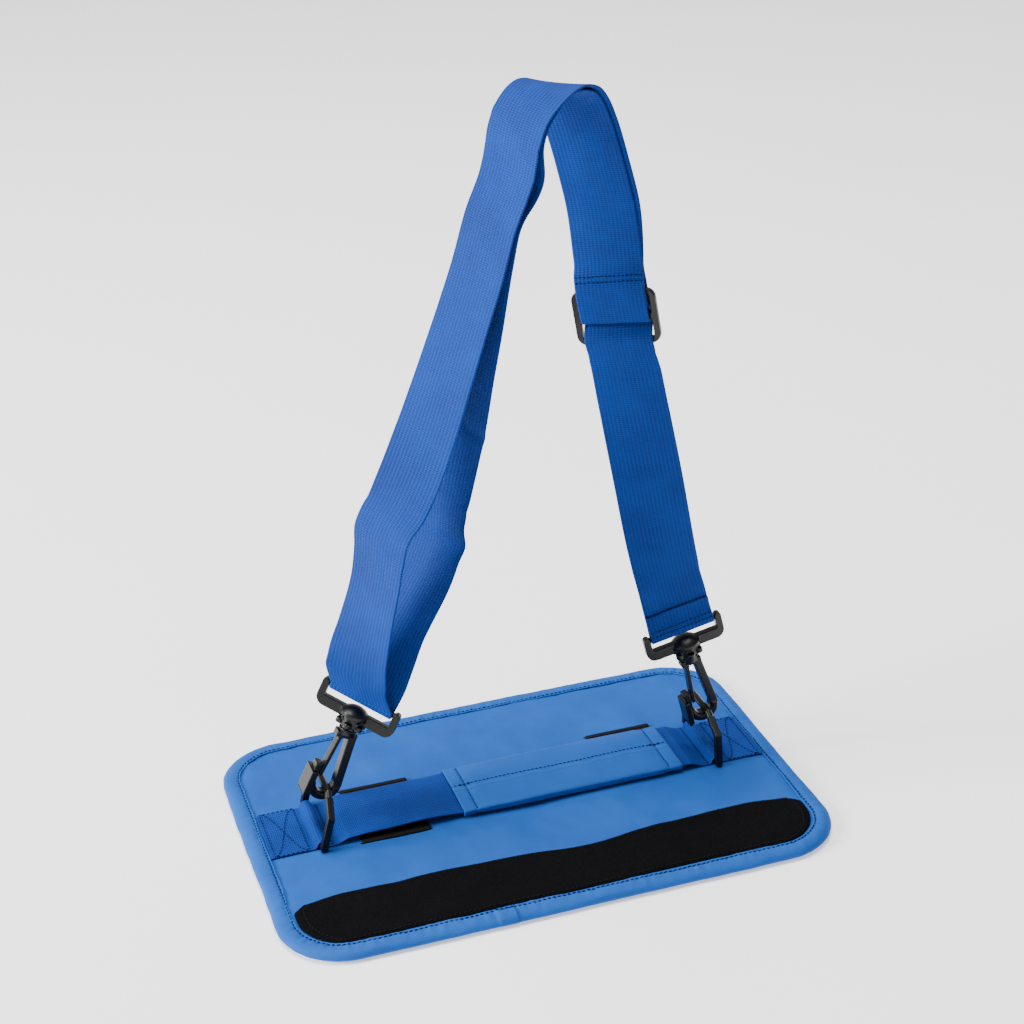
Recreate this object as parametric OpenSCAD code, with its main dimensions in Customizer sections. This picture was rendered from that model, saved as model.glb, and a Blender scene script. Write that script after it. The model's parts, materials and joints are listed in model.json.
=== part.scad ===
// Wrap-round carry sleeve: a padded panel with a closure strip, a grab handle with a sliding grip,
// two cinch straps, two rings, and a shoulder strap on two swivel snap hooks.
// +X along the panel's long side, +Y to its back edge, +Z up. Origin: bottom centre of the panel.

/* [Panel] */
// Length of the padded panel
panel_l = 350; // [340:1:360]
// Depth of the padded panel, front edge to back edge
panel_w = 240; // [230:1:250]
// Radius of the panel's rounded corners
corner_r = 42; // [36:1:48]
// Thickness of the foam between the two skins
core_t = 3.4; // [2.5:0.1:4.5]
// Width of the edge binding on each face
binding_w = 12; // [9:0.5:14]
// Width of the hook-and-loop closure strips
closure_w = 43; // [30:1:48]

/* [Handle] */
// Width of the handle webbing
handle_w = 48; // [44:1:50]
// Distance of the handle's centre line behind the panel's centre
handle_y = 12; // [8:1:16]
// Height of the underside of the lifted webbing above the base
handle_z = 8.9; // [8.9:0.1:10]
// Length of the padded grip sleeve
grip_l = 146; // [120:1:150]
// Width of the padded grip sleeve
grip_w = 51.5; // [51.5:0.5:56]
// Place of the grip's centre along the handle
grip_x = 33; // [20:1:33]
// Width of each cinch strap
cinch_w = 44; // [36:1:46]

/* [Rings and hooks] */
// Distance of each ring's hinge from the panel's centre
ring_x = 130.5; // [128:0.5:132]
// Inner width of each ring
ring_gap = 50; // [49:0.5:52]
// Height from the ring's base bar to its top bar, centre to centre
ring_h = 30.5; // [30:0.5:31]
// Lean of the left ring towards the panel's centre
ring_lean_left = 16; // [14:1:18]
// Lean of the right ring towards the panel's centre
ring_lean_right = 2; // [0:1:4]
// Lean of the left hook and its swivel
hook_lean_left = 28; // [26:1:30]
// Lean of the right hook and its swivel
hook_lean_right = -13; // [-15:1:-10]
// Turn of the left strap loop about its swivel
swivel_turn_left = -34; // [-38:1:-30]
// Turn of the right strap loop about its swivel
swivel_turn_right = -3; // [-6:0.5:2]

/* [Shoulder strap] */
// Width of the shoulder strap's webbing
strap_w = 42.5; // [38:0.5:43]
// Thickness of all webbing
webbing_t = 1.4; // [1.2:0.1:1.4]
// Radius of the bar that the strap turns round in each strap loop
loop_bar_r = 1.8; // [1.6:0.1:1.8]

/* [Hidden] */
$fn = 48;

// Panel stack, from the base up
tape_t = 0.8;
skin_t = 0.6;
lining_z = tape_t;
core_z = lining_z + skin_t;
cover_z = core_z + core_t;
face_z = cover_z + skin_t;
strip_t = 1.2;

// Cinch straps: one either side of the panel's centre, each through two slits
cinch_x = 84.5;
cinch_back_left = 45;
cinch_back_right = 49;
cinch_front_left = -15;
cinch_front_right = -6;
cinch_t = 0.8;
slit_l = cinch_w + 2;
slit_w = 1.8;
cinch_tail_l = 34;

// Rings
ring_r = 2.2;
ring_bar_z = face_z + ring_r + 0.1;
ring_fit = 0.08;
ring_knee = 20;
ring_top_half = 9;
ring_side = 4;
ring_top_end = 3;
ring_cut_out = 8;
ring_cut_drop = 4;
shoulder_drop = 7.2;
shoulder_out = 10.4;

// Height of the line through both hook bights, about which the strap folds
fold_z = ring_bar_z + ring_h * cos((ring_lean_left + ring_lean_right) / 2) - 0.1;
hook_x_left = -ring_x + ring_h * sin(ring_lean_left);
hook_x_right = ring_x - ring_h * sin(ring_lean_right);

// Snap hook, measured from the centre of its bight
bight_r = 8.2;
bight_t = 5.4;
bight_w = 9;
spine_x = 4.2;
spine_top = 33;
spine_t = 5.2;
spine_w = 7;
shoulder_l = 13.6;
shoulder_h = 4;
collar_r = 5.2;
collar_top = 41;
collar_rib = 0.8;
collar_rib_h = 1.2;
collar_rib_drop = 3;
stud_r = 3;
stud_fit = 0.05;
head_r = 4.6;
head_z = 46.4;
head_t = 3;
head_play = 0.3;
gate_x = -3.4;
gate_z = 33;
gate_pin_r = 1.6;
gate_fit = 0.05;
gate_t = 2.2;
gate_w = 6;
gate_foot_z = 4.6;
gate_foot_x = -5;
gate_start_drop = 1.2;

// Nose of the snap hook: a post outside the gate's foot and a wide thumb plate with a toothed lip
nose_post_x = -6.5;
nose_post_top = 13;
thumb_w = 14;
thumb_t = 3.6;
thumb_out = 1.6;
thumb_h = 16;
tooth_r = 1.25;
tooth_pitch = 2.8;
tooth_span = 2;

// Strap loop, on the same axis
loop_gap = strap_w + 1.6;
loop_side = 4.4;
loop_corner_r = 6;
loop_rail_z = 45;
loop_rail_h = 7;
loop_t = 5;
loop_bar_z = 60;
loop_top_z = 62.6;
boss_r = 6.8;
boss_z = collar_top + 0.3;
cap_r = 9.2;
cap_z = 47.6;
cap_top_z = 50.5;
dome_r = 12;
dome_drop = 7.94;
lobe_r = 2.4;
lobe_h = 3.2;
lobe_out = 0.8;
lobe_count = 6;
stud_dot_r = 1.1;
stud_dot_x = 4.8;
stud_dot_z = 45.4;

// Three-bar adjuster
glide_w = 52;
glide_h = 34;
glide_t = 3.5;
glide_bar = 4;
glide_corner_r = 6;

FABRIC_BLUE = [0.13, 0.36, 0.78];
WEBBING_BLUE = [0.09, 0.30, 0.70];
PLASTIC_BLACK = [0.04, 0.04, 0.045];
STRIP_BLACK = [0.05, 0.05, 0.05];
FOAM_GREY = [0.35, 0.36, 0.38];

// ---------- panel ----------

module rounded_rect(l, w, r) {
    square([l - 2 * r, w], center = true);
    square([l, w - 2 * r], center = true);
    for (sx = [-1, 1], sy = [-1, 1])
        translate([sx * (l / 2 - r), sy * (w / 2 - r)]) circle(r);
}

module panel_plan(inset) {
    rounded_rect(panel_l - 2 * inset, panel_w - 2 * inset, corner_r - inset);
}

module slab(z, t, inset) {
    translate([0, 0, z]) linear_extrude(t) panel_plan(inset);
}

function cinch_front(side) = side < 0 ? cinch_front_left : cinch_front_right;
function cinch_back(side) = side < 0 ? cinch_back_left : cinch_back_right;

module slits() {
    for (side = [-1, 1])
        for (y = [cinch_back(side), cinch_front(side)])
            translate([side * cinch_x - slit_l / 2, y - slit_w / 2, -1])
                cube([slit_l, slit_w, face_z + 5]);
}

module layer(z, t) {
    difference() {
        slab(z, t, tape_t);
        slits();
    }
}

module outer_cover() {
    color(FABRIC_BLUE) layer(cover_z, skin_t);
}

module lining() {
    color(FABRIC_BLUE) layer(lining_z, skin_t);
}

module foam_core() {
    color(FOAM_GREY) layer(core_z, core_t);
}

module edge_binding() {
    color(FABRIC_BLUE) difference() {
        slab(0, face_z + tape_t, 0);
        slab(lining_z, face_z - lining_z, tape_t);
        slab(-1, face_z + tape_t + 2, binding_w);
    }
}

// One half of the closure: a strip whose ends follow the panel's rounded corners
module closure(z, t, low_y, high_y) {
    gap = binding_w + 1;
    intersection() {
        slab(z, t, gap);
        translate([-panel_l / 2, low_y, z - 1]) cube([panel_l, high_y - low_y, t + 2]);
    }
}

module loop_strip() {
    edge = -panel_w / 2 + binding_w + 1;
    color(STRIP_BLACK) closure(face_z, strip_t, edge, edge + closure_w);
}

module hook_strip() {
    edge = panel_w / 2 - binding_w - 1;
    color(STRIP_BLACK) closure(0, tape_t, edge - closure_w, edge);
}

// A strap up through the back slit, over the face, down through the front slit, with a tail under
// the panel from each slit, both tails lying towards the front
module cinch_strap(side) {
    x = side * cinch_x - cinch_w / 2;
    front = cinch_front(side);
    back = cinch_back(side);
    half = cinch_t / 2;
    color(STRIP_BLACK) {
        translate([x, front - half, face_z])
            cube([cinch_w, back - front + cinch_t, cinch_t]);
        for (y = [front, back]) {
            translate([x, y - half, 0]) cube([cinch_w, cinch_t, face_z + cinch_t]);
            translate([x, y + half - cinch_tail_l, 0]) cube([cinch_w, cinch_tail_l, tape_t]);
        }
    }
}

module cinch_strap_left() {
    cinch_strap(-1);
}

module cinch_strap_right() {
    cinch_strap(1);
}

// ---------- handle ----------

handle_end_x = panel_l / 2 - binding_w - 0.2;
tunnel_r = ring_r + ring_fit;
lift_start = ring_x - 7;
lift_end = ring_x - 19;
lift_steps = 10;

function smooth(u) = u * u * (3 - 2 * u);
function lift(u) = face_z + (handle_z - face_z) * smooth(u);

function mirrored(list) = [for (p = list) [-p.x, p.y]];
function reversed(list) = [for (i = [len(list) - 1:-1:0]) list[i]];

// One side's sewn end and ramp up to the lifted middle, raised by some thickness
function ramp(up) = concat([[handle_end_x, face_z + up]], [for (i = [0:lift_steps])
    let (u = i / lift_steps) [lift_start + (lift_end - lift_start) * u, lift(u) + up]]);

// Something of constant section, run across the handle
module across_handle(w) {
    translate([0, handle_y + w / 2, 0]) rotate([90, 0, 0]) linear_extrude(w) children();
}

module handle_webbing() {
    block = tunnel_r + webbing_t;
    color(WEBBING_BLUE) difference() {
        union() {
            across_handle(handle_w) polygon(concat(ramp(0), reversed(mirrored(ramp(0))),
                mirrored(ramp(webbing_t)), reversed(ramp(webbing_t))));
            for (s = [-1, 1]) {
                across_handle(handle_w) translate([s * ring_x, ring_bar_z]) circle(block);
                across_handle(handle_w) translate([s * ring_x - block, face_z])
                    square([2 * block, ring_bar_z - face_z]);
            }
        }
        for (s = [-1, 1]) {
            across_handle(handle_w + 2) translate([s * ring_x, ring_bar_z]) circle(tunnel_r);
            across_handle(handle_w + 2) translate([s * ring_x - tunnel_r, face_z - 1])
                square([2 * tunnel_r, ring_bar_z - face_z + 1]);
            across_handle(handle_w + 2) translate([s * ring_x - 2 * block, face_z - 2 * block])
                square([4 * block, 2 * block]);
        }
    }
}

grip_t = 6.2;
grip_skin = 0.8;
grip_play = 0.3;
grip_inner_w = grip_w - 2 * grip_skin;
grip_inner_t = grip_t - 2 * grip_skin;

module grip_section(w, t) {
    rounded_rect(w, t, t / 2 - 0.1);
}

// Something of constant section, run along the handle for the grip's length
module along_grip() {
    translate([grip_x - grip_l / 2, handle_y, handle_z + webbing_t / 2]) rotate([90, 0, 90])
        linear_extrude(grip_l) children();
}

module grip_cover() {
    color(FABRIC_BLUE) along_grip() difference() {
        grip_section(grip_w, grip_t);
        grip_section(grip_inner_w, grip_inner_t);
    }
}

module grip_foam() {
    color(FOAM_GREY) along_grip() difference() {
        grip_section(grip_inner_w, grip_inner_t);
        square([handle_w + 2 * grip_play, webbing_t + 2 * grip_play], center = true);
    }
}

// ---------- rings ----------

// Ring outline in its own plane: base bar along the origin, straight sides, then slanted to the top
module ring_outline(grow) {
    side = ring_gap / 2 + grow;
    top = ring_top_half + grow * 0.4;
    polygon([
        [-side, 0], [side, 0], [side, ring_knee + grow * 0.5], [top, ring_h + grow],
        [-top, ring_h + grow], [-side, ring_knee + grow * 0.5]
    ]);
}

module ring_body() {
    bar_l = ring_gap + 2 * ring_side;
    rotate([90, 0, 90]) translate([0, 0, -ring_r]) linear_extrude(2 * ring_r) difference() {
        ring_outline(ring_side);
        ring_outline(0);
        translate([-ring_top_half - ring_cut_out, ring_h - ring_cut_drop])
            square([2 * (ring_top_half + ring_cut_out), ring_h]);
    }
    rotate([90, 0, 0]) cylinder(h = bar_l, r = ring_r, center = true);
    translate([0, 0, ring_h]) rotate([90, 0, 0])
        cylinder(h = 2 * (ring_top_half + ring_top_end), r = ring_r, center = true);
    for (s = [-1, 1])
        translate([0, s * (ring_top_half + ring_top_end), ring_h]) ring_shoulder(s);
}

// The short slanted bar between the top bar and the flat side
module ring_shoulder(s) {
    angle = atan2(shoulder_out, shoulder_drop);
    rotate([-s * (180 - angle), 0, 0])
        cylinder(h = norm([shoulder_out, shoulder_drop]), r = ring_r);
    sphere(ring_r);
}

module ring_at(x, lean) {
    translate([x, handle_y, ring_bar_z]) rotate([0, lean, 0]) ring_body();
}

module ring_left() {
    color(PLASTIC_BLACK) ring_at(-ring_x, ring_lean_left);
}

module ring_right() {
    color(PLASTIC_BLACK) ring_at(ring_x, -ring_lean_right);
}

// ---------- snap hooks ----------

module on_hook(x, lean) {
    translate([x, handle_y, fold_z]) rotate([0, lean, 0]) children();
}

// Flat bar of the hook's plane, between two points, with round ends
module hook_bar(x0, z0, r0, x1, z1, r1, w) {
    rotate([90, 0, 0]) translate([0, 0, -w / 2]) linear_extrude(w) {
        translate([x0, z0]) circle(r0);
        translate([x1, z1]) circle(r1);
        bar_side(x0, z0, r0, x1, z1, r1);
    }
}

module bar_side(x0, z0, r0, x1, z1, r1) {
    run = norm([x1 - x0, z1 - z0]);
    nx = -(z1 - z0) / run;
    nz = (x1 - x0) / run;
    polygon([
        [x0 + nx * r0, z0 + nz * r0], [x1 + nx * r1, z1 + nz * r1],
        [x1 - nx * r1, z1 - nz * r1], [x0 - nx * r0, z0 - nz * r0]
    ]);
}

module hook_nose() {
    outside = -bight_r - bight_t / 2 + 0.2;
    translate([outside, -spine_w / 2, -1]) cube([nose_post_x - outside, spine_w, nose_post_top + 1]);
    translate([outside - thumb_out, -thumb_w / 2, -thumb_h / 2]) cube([thumb_t, thumb_w, thumb_h]);
    for (i = [-tooth_span:tooth_span])
        translate([outside - thumb_out + tooth_r, i * tooth_pitch, -thumb_h / 2 - tooth_r])
            cylinder(h = thumb_h / 3, r = tooth_r);
}

module hook_body() {
    difference() {
        union() {
            // bight: half of a wide flat ring below the bar it holds
            rotate([90, 0, 0]) rotate([0, 0, 180])
                rotate_extrude(angle = 180)
                    translate([bight_r, 0]) rounded_rect(bight_t, bight_w, bight_t / 3);
            hook_bar(bight_r, 1, spine_t / 2, spine_x, spine_top, spine_t / 2, spine_w);
            hook_nose();
            // shoulder and ribbed collar
            translate([-shoulder_l / 2, -spine_w / 2, spine_top])
                cube([shoulder_l, spine_w, shoulder_h]);
            translate([0, 0, spine_top + shoulder_h / 2])
                cylinder(h = collar_top - spine_top - shoulder_h / 2, r = collar_r);
            translate([0, 0, collar_top - collar_rib_drop])
                cylinder(h = collar_rib_h, r = collar_r + collar_rib);
            // stud and its head
            translate([0, 0, collar_top - 1]) cylinder(h = head_z - collar_top + 2, r = stud_r);
            translate([0, 0, head_z]) cylinder(h = head_t, r = head_r);
        }
        // socket of the gate's round end
        translate([gate_x, 0, gate_z]) rotate([90, 0, 0])
            cylinder(h = 20, r = gate_pin_r + gate_fit, center = true);
    }
}

// The gate: a round end in the shoulder's socket and a thin tongue down to the nose
module gate_body() {
    translate([gate_x, 0, gate_z]) rotate([90, 0, 0])
        cylinder(h = gate_w, r = gate_pin_r, center = true);
    hook_bar(gate_x, gate_z - gate_start_drop, gate_t / 2,
        gate_foot_x, gate_foot_z + gate_t / 2, gate_t / 2, gate_w);
}

module hook_left() {
    color(PLASTIC_BLACK) on_hook(hook_x_left, hook_lean_left) hook_body();
}

module hook_right() {
    color(PLASTIC_BLACK) on_hook(hook_x_right, hook_lean_right) hook_body();
}

module gate_left() {
    color(PLASTIC_BLACK) on_hook(hook_x_left, hook_lean_left) gate_body();
}

module gate_right() {
    color(PLASTIC_BLACK) on_hook(hook_x_right, hook_lean_right) gate_body();
}

// ---------- strap loops ----------

// Frame of the strap loop in its own plane: a rail with rounded ends and two posts
module loop_frame() {
    outer = loop_gap + 2 * loop_side;
    base_h = 2 * loop_corner_r + 1;
    post_x = (loop_gap + loop_side) / 2;
    post_top = loop_top_z - loop_side / 2;
    difference() {
        union() {
            translate([0, loop_rail_z + base_h / 2]) rounded_rect(outer, base_h, loop_corner_r);
            for (s = [-1, 1]) {
                translate([s * post_x - loop_side / 2, loop_rail_z + loop_rail_h])
                    square([loop_side, post_top - loop_rail_z - loop_rail_h]);
                translate([s * post_x, post_top]) circle(loop_side / 2);
            }
        }
        translate([-loop_gap / 2, loop_rail_z + loop_rail_h]) square([loop_gap, loop_top_z]);
    }
}

module strap_loop_body() {
    stud_dot_y = sqrt(boss_r * boss_r - stud_dot_x * stud_dot_x);
    difference() {
        union() {
            rotate([90, 0, 0]) translate([0, 0, -loop_t / 2]) linear_extrude(loop_t) loop_frame();
            translate([0, 0, loop_bar_z]) rotate([0, 90, 0])
                cylinder(h = loop_gap + loop_side, r = loop_bar_r, center = true);
            translate([0, 0, boss_z]) cylinder(h = cap_top_z - boss_z, r = boss_r);
            // wider cap of the boss and its domed top
            translate([0, 0, cap_z]) cylinder(h = cap_top_z - cap_z, r = cap_r);
            intersection() {
                translate([0, 0, cap_top_z - dome_drop]) sphere(dome_r);
                translate([-dome_r, -dome_r, cap_top_z]) cube([2 * dome_r, 2 * dome_r, dome_r]);
            }
            // scalloped foot of the boss
            for (i = [0:lobe_count - 1])
                rotate([0, 0, (i + 0.5) * 360 / lobe_count])
                    translate([boss_r + lobe_out, 0, boss_z]) cylinder(h = lobe_h, r = lobe_r);
            for (sx = [-1, 1], sy = [-1, 1])
                translate([sx * stud_dot_x, sy * stud_dot_y, stud_dot_z]) sphere(stud_dot_r);
        }
        translate([0, 0, boss_z - 1]) cylinder(h = head_z - boss_z + 4, r = stud_r + stud_fit);
        translate([0, 0, head_z - head_play])
            cylinder(h = head_t + 2 * head_play, r = head_r + head_play);
    }
}

module swivel_loop_left() {
    color(PLASTIC_BLACK) on_hook(hook_x_left, hook_lean_left)
        rotate([0, 0, swivel_turn_left]) strap_loop_body();
}

module swivel_loop_right() {
    color(PLASTIC_BLACK) on_hook(hook_x_right, hook_lean_right)
        rotate([0, 0, swivel_turn_right]) strap_loop_body();
}

// ---------- shoulder strap ----------

function unit(v) = v / norm(v);
function axis_of(lean) = [sin(lean), 0, cos(lean)];
function bar_point(x, lean) = [x, handle_y, fold_z] + loop_bar_z * axis_of(lean);
// Heading in plan of webbing that lies along a strap loop's bar
function bar_heading(lean, turn) = atan2(sin(turn), cos(turn) / cos(lean));

BAR_LEFT = bar_point(hook_x_left, hook_lean_left);
BAR_RIGHT = bar_point(hook_x_right, hook_lean_right);
LEFT_HEADING = bar_heading(hook_lean_left, swivel_turn_left);
RIGHT_HEADING = bar_heading(hook_lean_right, swivel_turn_right);
bar_wrap = loop_bar_r + 0.15 + webbing_t / 2;

// Rows of the strap's two layers, from the left strap loop upwards: x, y, z, heading of the
// webbing's width in plan, and how far the width rises beyond square to the run
OUTER = [
    [-97, 11, 104, -38, -0.3],
    [-95, 9, 120, -50, -0.16],
    [-91.5, 7, 135, -58, -0.06],
    [-88, 5, 150, -62, 0],
    [-84.5, 4, 164, -64, 0],
    [-82, 3, 176, -64, 0],
    [-80, 2, 190, -63, 0],
    [-78.5, 2, 201, -60, 0],
    [-74, 2, 210, -56, 0],
    [-66.5, 2.5, 220, -51, 0],
    [-57.5, 3, 237, -50, 0],
    [-49.5, 3.5, 255, -52, 0],
    [-42, 4, 273, -55, 0],
    [-32, 5, 298, -59, 0],
    [-22, 5.5, 324, -62, 0],
    [-11, 6, 353, -64, 0],
    [-1.8, 5.8, 382, -65, 0]
];
INNER = [
    [-82, 17, 104, -40, -0.3],
    [-73, 21, 118, -49, -0.15],
    [-65, 23, 131, -56, -0.05],
    [-57, 22.5, 144, -60, 0],
    [-49, 22.5, 157, -62, 0],
    [-42.5, 23, 170, -63, 0],
    [-38, 24, 184, -63, 0],
    [-36, 25, 196, -61, 0],
    [-34.5, 25, 208, -55, 0],
    [-31.5, 24, 224, -51, 0],
    [-27, 21, 245, -52, 0],
    [-23, 17, 265, -55, 0],
    [-18, 13, 292, -59, 0],
    [-12, 10.5, 320, -62, 0],
    [-6, 8.5, 351, -64, 0],
    [0.8, 6.8, 382, -65, 0]
];
// Middle line of the stretch where the two layers lie together, over the top to the adjuster
TOP = [
    [6, 5.5, 398, -65, 0],
    [10.5, 5, 412, -65, 0],
    [13.5, 4.5, 427, -64, 0],
    [19, 5, 440, -62, 0],
    [28, 8.5, 449, -56, 0],
    [38, 14, 451.5, -50, 0],
    [48, 19, 446, -46, 0],
    [56.5, 23, 429, -43, 0],
    [65, 26, 402, -42, 0],
    [72, 27, 372, -41, 0],
    [75, 25, 340, -40, 0]
];
layer_gap = 2.2;

// Centre of the adjuster and the middle line of the single strap below it
GLIDE = [78.5, 23, 308];
glide_heading = -38;
SINGLE = [
    [84, 21, 272, -33],
    [90, 19, 236, -27],
    [96, 17, 200, -20],
    [102, 15, 162, -10],
    [108, 13, 130, 0]
];

function mixed(a, b, c, d, u) = 0.5 * (2 * b + (c - a) * u + (2 * a - 5 * b + 4 * c - d) * u * u
    + (3 * b - a - 3 * c + d) * u * u * u);

// A smooth curve through rows of numbers, with steps points to each stretch
function curve(rows, steps) = let (last = len(rows) - 1) concat(
    [for (i = [0:last - 1], k = [0:steps - 1])
        mixed(rows[max(i - 1, 0)], rows[i], rows[i + 1], rows[min(i + 2, last)], k / steps)],
    [rows[last]]
);

function place(row) = [row[0], row[1], row[2]];
function heading(a) = [cos(a), sin(a), 0];
function along(rows, i) =
    unit(place(rows[min(i + 1, len(rows) - 1)]) - place(rows[max(i - 1, 0)]));
function across(t, a) = unit(heading(a) - (heading(a) * t) * t);
function risen(w, rise) = unit(w + [0, 0, rise]);
function width_at(rows, i) = risen(across(along(rows, i), rows[i][3]), rows[i][4]);

// The shared stretch moved half the layers' distance out (-1) or in (1)
function top_layer(side) = [for (i = [0:len(TOP) - 1])
    let (shift = side * layer_gap / 2 * cross(along(TOP, i), width_at(TOP, i)))
    [TOP[i][0] + shift.x, TOP[i][1] + shift.y, TOP[i][2] + shift.z, TOP[i][3], 0]];

// Points of one layer, each with its width direction
function layer_points(low, side) = let (rows = curve(concat(low, top_layer(side)), 3))
    [for (i = [0:len(rows) - 1]) [place(rows[i]), width_at(rows, i)]];

// Points on an arc about a bar: from one angle to the other, with u the way the strap leaves
function arc_points(centre, u, n, w, r, from, to, steps) = [for (i = [0:steps])
    let (a = from + (to - from) * i / steps)
    [centre + r * (cos(a) * n + sin(a) * u), w]];

single = curve(SINGLE, 4);
glide_t_dir = unit([84, 21, 272] - [75, 25, 340]);
glide_w_dir = across(glide_t_dir, glide_heading);
glide_n_dir = cross(glide_t_dir, glide_w_dir);

function glide_point(s, n) = [GLIDE + s * glide_t_dir + n * glide_n_dir, glide_w_dir];
function glide_points(list) = [for (p = list) glide_point(p[0], p[1])];

left_u = axis_of(hook_lean_left);
left_w = across(left_u, LEFT_HEADING);
right_u = axis_of(hook_lean_right);
right_w = across(right_u, RIGHT_HEADING);
right_n = cross(right_w, -right_u);

// The whole webbing from its sewn end at the adjuster to its sewn end at the right strap loop
STRAP = concat(
    glide_points([[-27, 0.6], [-21, 2.2], [-17, 2.6], [-13, 2.6], [-8.5, 2.2], [-5, -0.2],
        [-3.2, -2.3], [-0.5, -3.2], [2.6, -2.7], [3.4, 0], [2.6, 2.6], [0, 3.5], [-7, 4.3],
        [-13, 4.4], [-17, 4.35], [-21, 3.9], [-27, 2.4]]),
    reversed(layer_points(INNER, 1)),
    arc_points(BAR_LEFT, -left_u, cross(left_u, left_w), left_w, bar_wrap, -10, 200, 7),
    layer_points(OUTER, -1),
    glide_points([[-20, -2.5], [-15, -2.8], [-8, -3.8], [-2, -4.8], [2, -4.7], [5, -2.6], [9, 0.6],
        [12.5, 2.6], [16, 2.8], [20, 1.8], [26, 0.3]]),
    [for (i = [0:len(single) - 1])
        let (t = along(single, i)) [place(single[i]), across(t, single[i][3])]],
    [[BAR_RIGHT + 22 * right_u + 0.9 * right_n, right_w],
     [BAR_RIGHT + 10 * right_u + 1.4 * right_n, right_w],
     [BAR_RIGHT + 4 * right_u + 2.3 * right_n, right_w]],
    arc_points(BAR_RIGHT, -right_u, right_n, right_w, bar_wrap, 0, 180, 6),
    [[BAR_RIGHT + 4 * right_u - 2.2 * right_n, right_w],
     [BAR_RIGHT + 10 * right_u - 0.5 * right_n, right_w],
     [BAR_RIGHT + 16.5 * right_u - 0.7 * right_n, right_w]]
);

// A flat ribbon of closed rectangular section through points that carry their width direction
module ribbon(points, w, t) {
    last = len(points) - 1;
    corners = [for (i = [0:last])
        let (
            run = unit(points[min(i + 1, last)][0] - points[max(i - 1, 0)][0]),
            wide = points[i][1] * w / 2,
            thick = unit(cross(run, wide)) * t / 2,
            p = points[i][0]
        )
        each [p - wide - thick, p + wide - thick, p + wide + thick, p - wide + thick]];
    sides = [for (i = [0:last - 1], k = [0:3])
        let (a = 4 * i + k, b = 4 * i + (k + 1) % 4)
        each [[a, b + 4, b], [a, a + 4, b + 4]]];
    caps = [[0, 1, 2, 3], [4 * last + 3, 4 * last + 2, 4 * last + 1, 4 * last]];
    polyhedron(corners, concat(sides, caps), convexity = 8);
}

module shoulder_strap() {
    color(WEBBING_BLUE) ribbon(STRAP, strap_w, webbing_t);
}

module tri_glide() {
    w = glide_w_dir;
    u = -glide_t_dir;
    n = cross(w, u);
    window_h = glide_h / 2 - 1.5 * glide_bar;
    color(PLASTIC_BLACK) multmatrix([
        [w.x, u.x, n.x, GLIDE.x], [w.y, u.y, n.y, GLIDE.y], [w.z, u.z, n.z, GLIDE.z]
    ]) translate([0, 0, -glide_t / 2]) linear_extrude(glide_t) difference() {
        rounded_rect(glide_w, glide_h, glide_corner_r);
        for (s = [-1, 1])
            translate([0, s * (window_h + glide_bar) / 2])
                square([strap_w + 2, window_h], center = true);
    }
}

outer_cover();
lining();
foam_core();
edge_binding();
loop_strip();
hook_strip();
cinch_strap_left();
cinch_strap_right();
handle_webbing();
grip_cover();
grip_foam();
ring_left();
ring_right();
hook_left();
hook_right();
gate_left();
gate_right();
swivel_loop_left();
swivel_loop_right();
tri_glide();
shoulder_strap();
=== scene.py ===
"""Looks of the wrap-round carry sleeve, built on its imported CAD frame.

Lengths inside the script are millimetres in the row frame; mesh_piece() turns them into metres.
"""

import json
import math

import bpy
import numpy as np
from mathutils import Matrix, Vector


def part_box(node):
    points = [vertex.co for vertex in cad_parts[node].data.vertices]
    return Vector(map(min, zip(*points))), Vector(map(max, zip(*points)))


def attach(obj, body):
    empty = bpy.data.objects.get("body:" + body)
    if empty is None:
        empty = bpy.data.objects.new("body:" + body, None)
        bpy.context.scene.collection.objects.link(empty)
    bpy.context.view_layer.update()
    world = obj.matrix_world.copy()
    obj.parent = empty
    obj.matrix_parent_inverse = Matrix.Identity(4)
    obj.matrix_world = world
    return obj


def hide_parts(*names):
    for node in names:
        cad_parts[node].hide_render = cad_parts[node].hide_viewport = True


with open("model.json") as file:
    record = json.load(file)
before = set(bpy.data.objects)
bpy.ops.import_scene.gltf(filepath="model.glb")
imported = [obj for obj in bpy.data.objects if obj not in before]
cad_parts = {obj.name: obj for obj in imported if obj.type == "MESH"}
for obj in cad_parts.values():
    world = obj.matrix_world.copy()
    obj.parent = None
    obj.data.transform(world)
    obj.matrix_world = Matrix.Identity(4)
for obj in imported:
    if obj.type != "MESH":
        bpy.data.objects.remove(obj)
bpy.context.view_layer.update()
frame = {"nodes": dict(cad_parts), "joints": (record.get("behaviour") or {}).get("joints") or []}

MM = 0.001


# ---------- small maths ----------


def unit(v):
    """Vectors brought to a length of 1."""
    v = np.asarray(v, float)
    return v / np.linalg.norm(v, axis=-1, keepdims=True)


def smooth(u):
    """A soft step from 0 to 1 as u goes from 0 to 1."""
    u = np.clip(u, 0, 1)
    return u * u * (3 - 2 * u)


def bell(x, middle, width):
    """A soft bump of height 1."""
    return np.exp(-(((x - middle) / width) ** 2))


def waves(seed, length, count=7):
    """A soft random wave of two coordinates, about -1 to 1, with that typical wave length in mm."""
    rng = np.random.default_rng(seed)
    angles = rng.uniform(0, 2 * math.pi, count)
    lengths = length * rng.uniform(0.6, 1.7, count)
    phases = rng.uniform(0, 2 * math.pi, count)

    def value(x, y=0.0):
        total = 0
        for angle, wave, phase in zip(angles, lengths, phases):
            run = x * math.cos(angle) + y * math.sin(angle)
            total = total + np.sin(2 * math.pi * run / wave + phase)
        return total / math.sqrt(2 * count)

    return value


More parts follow.
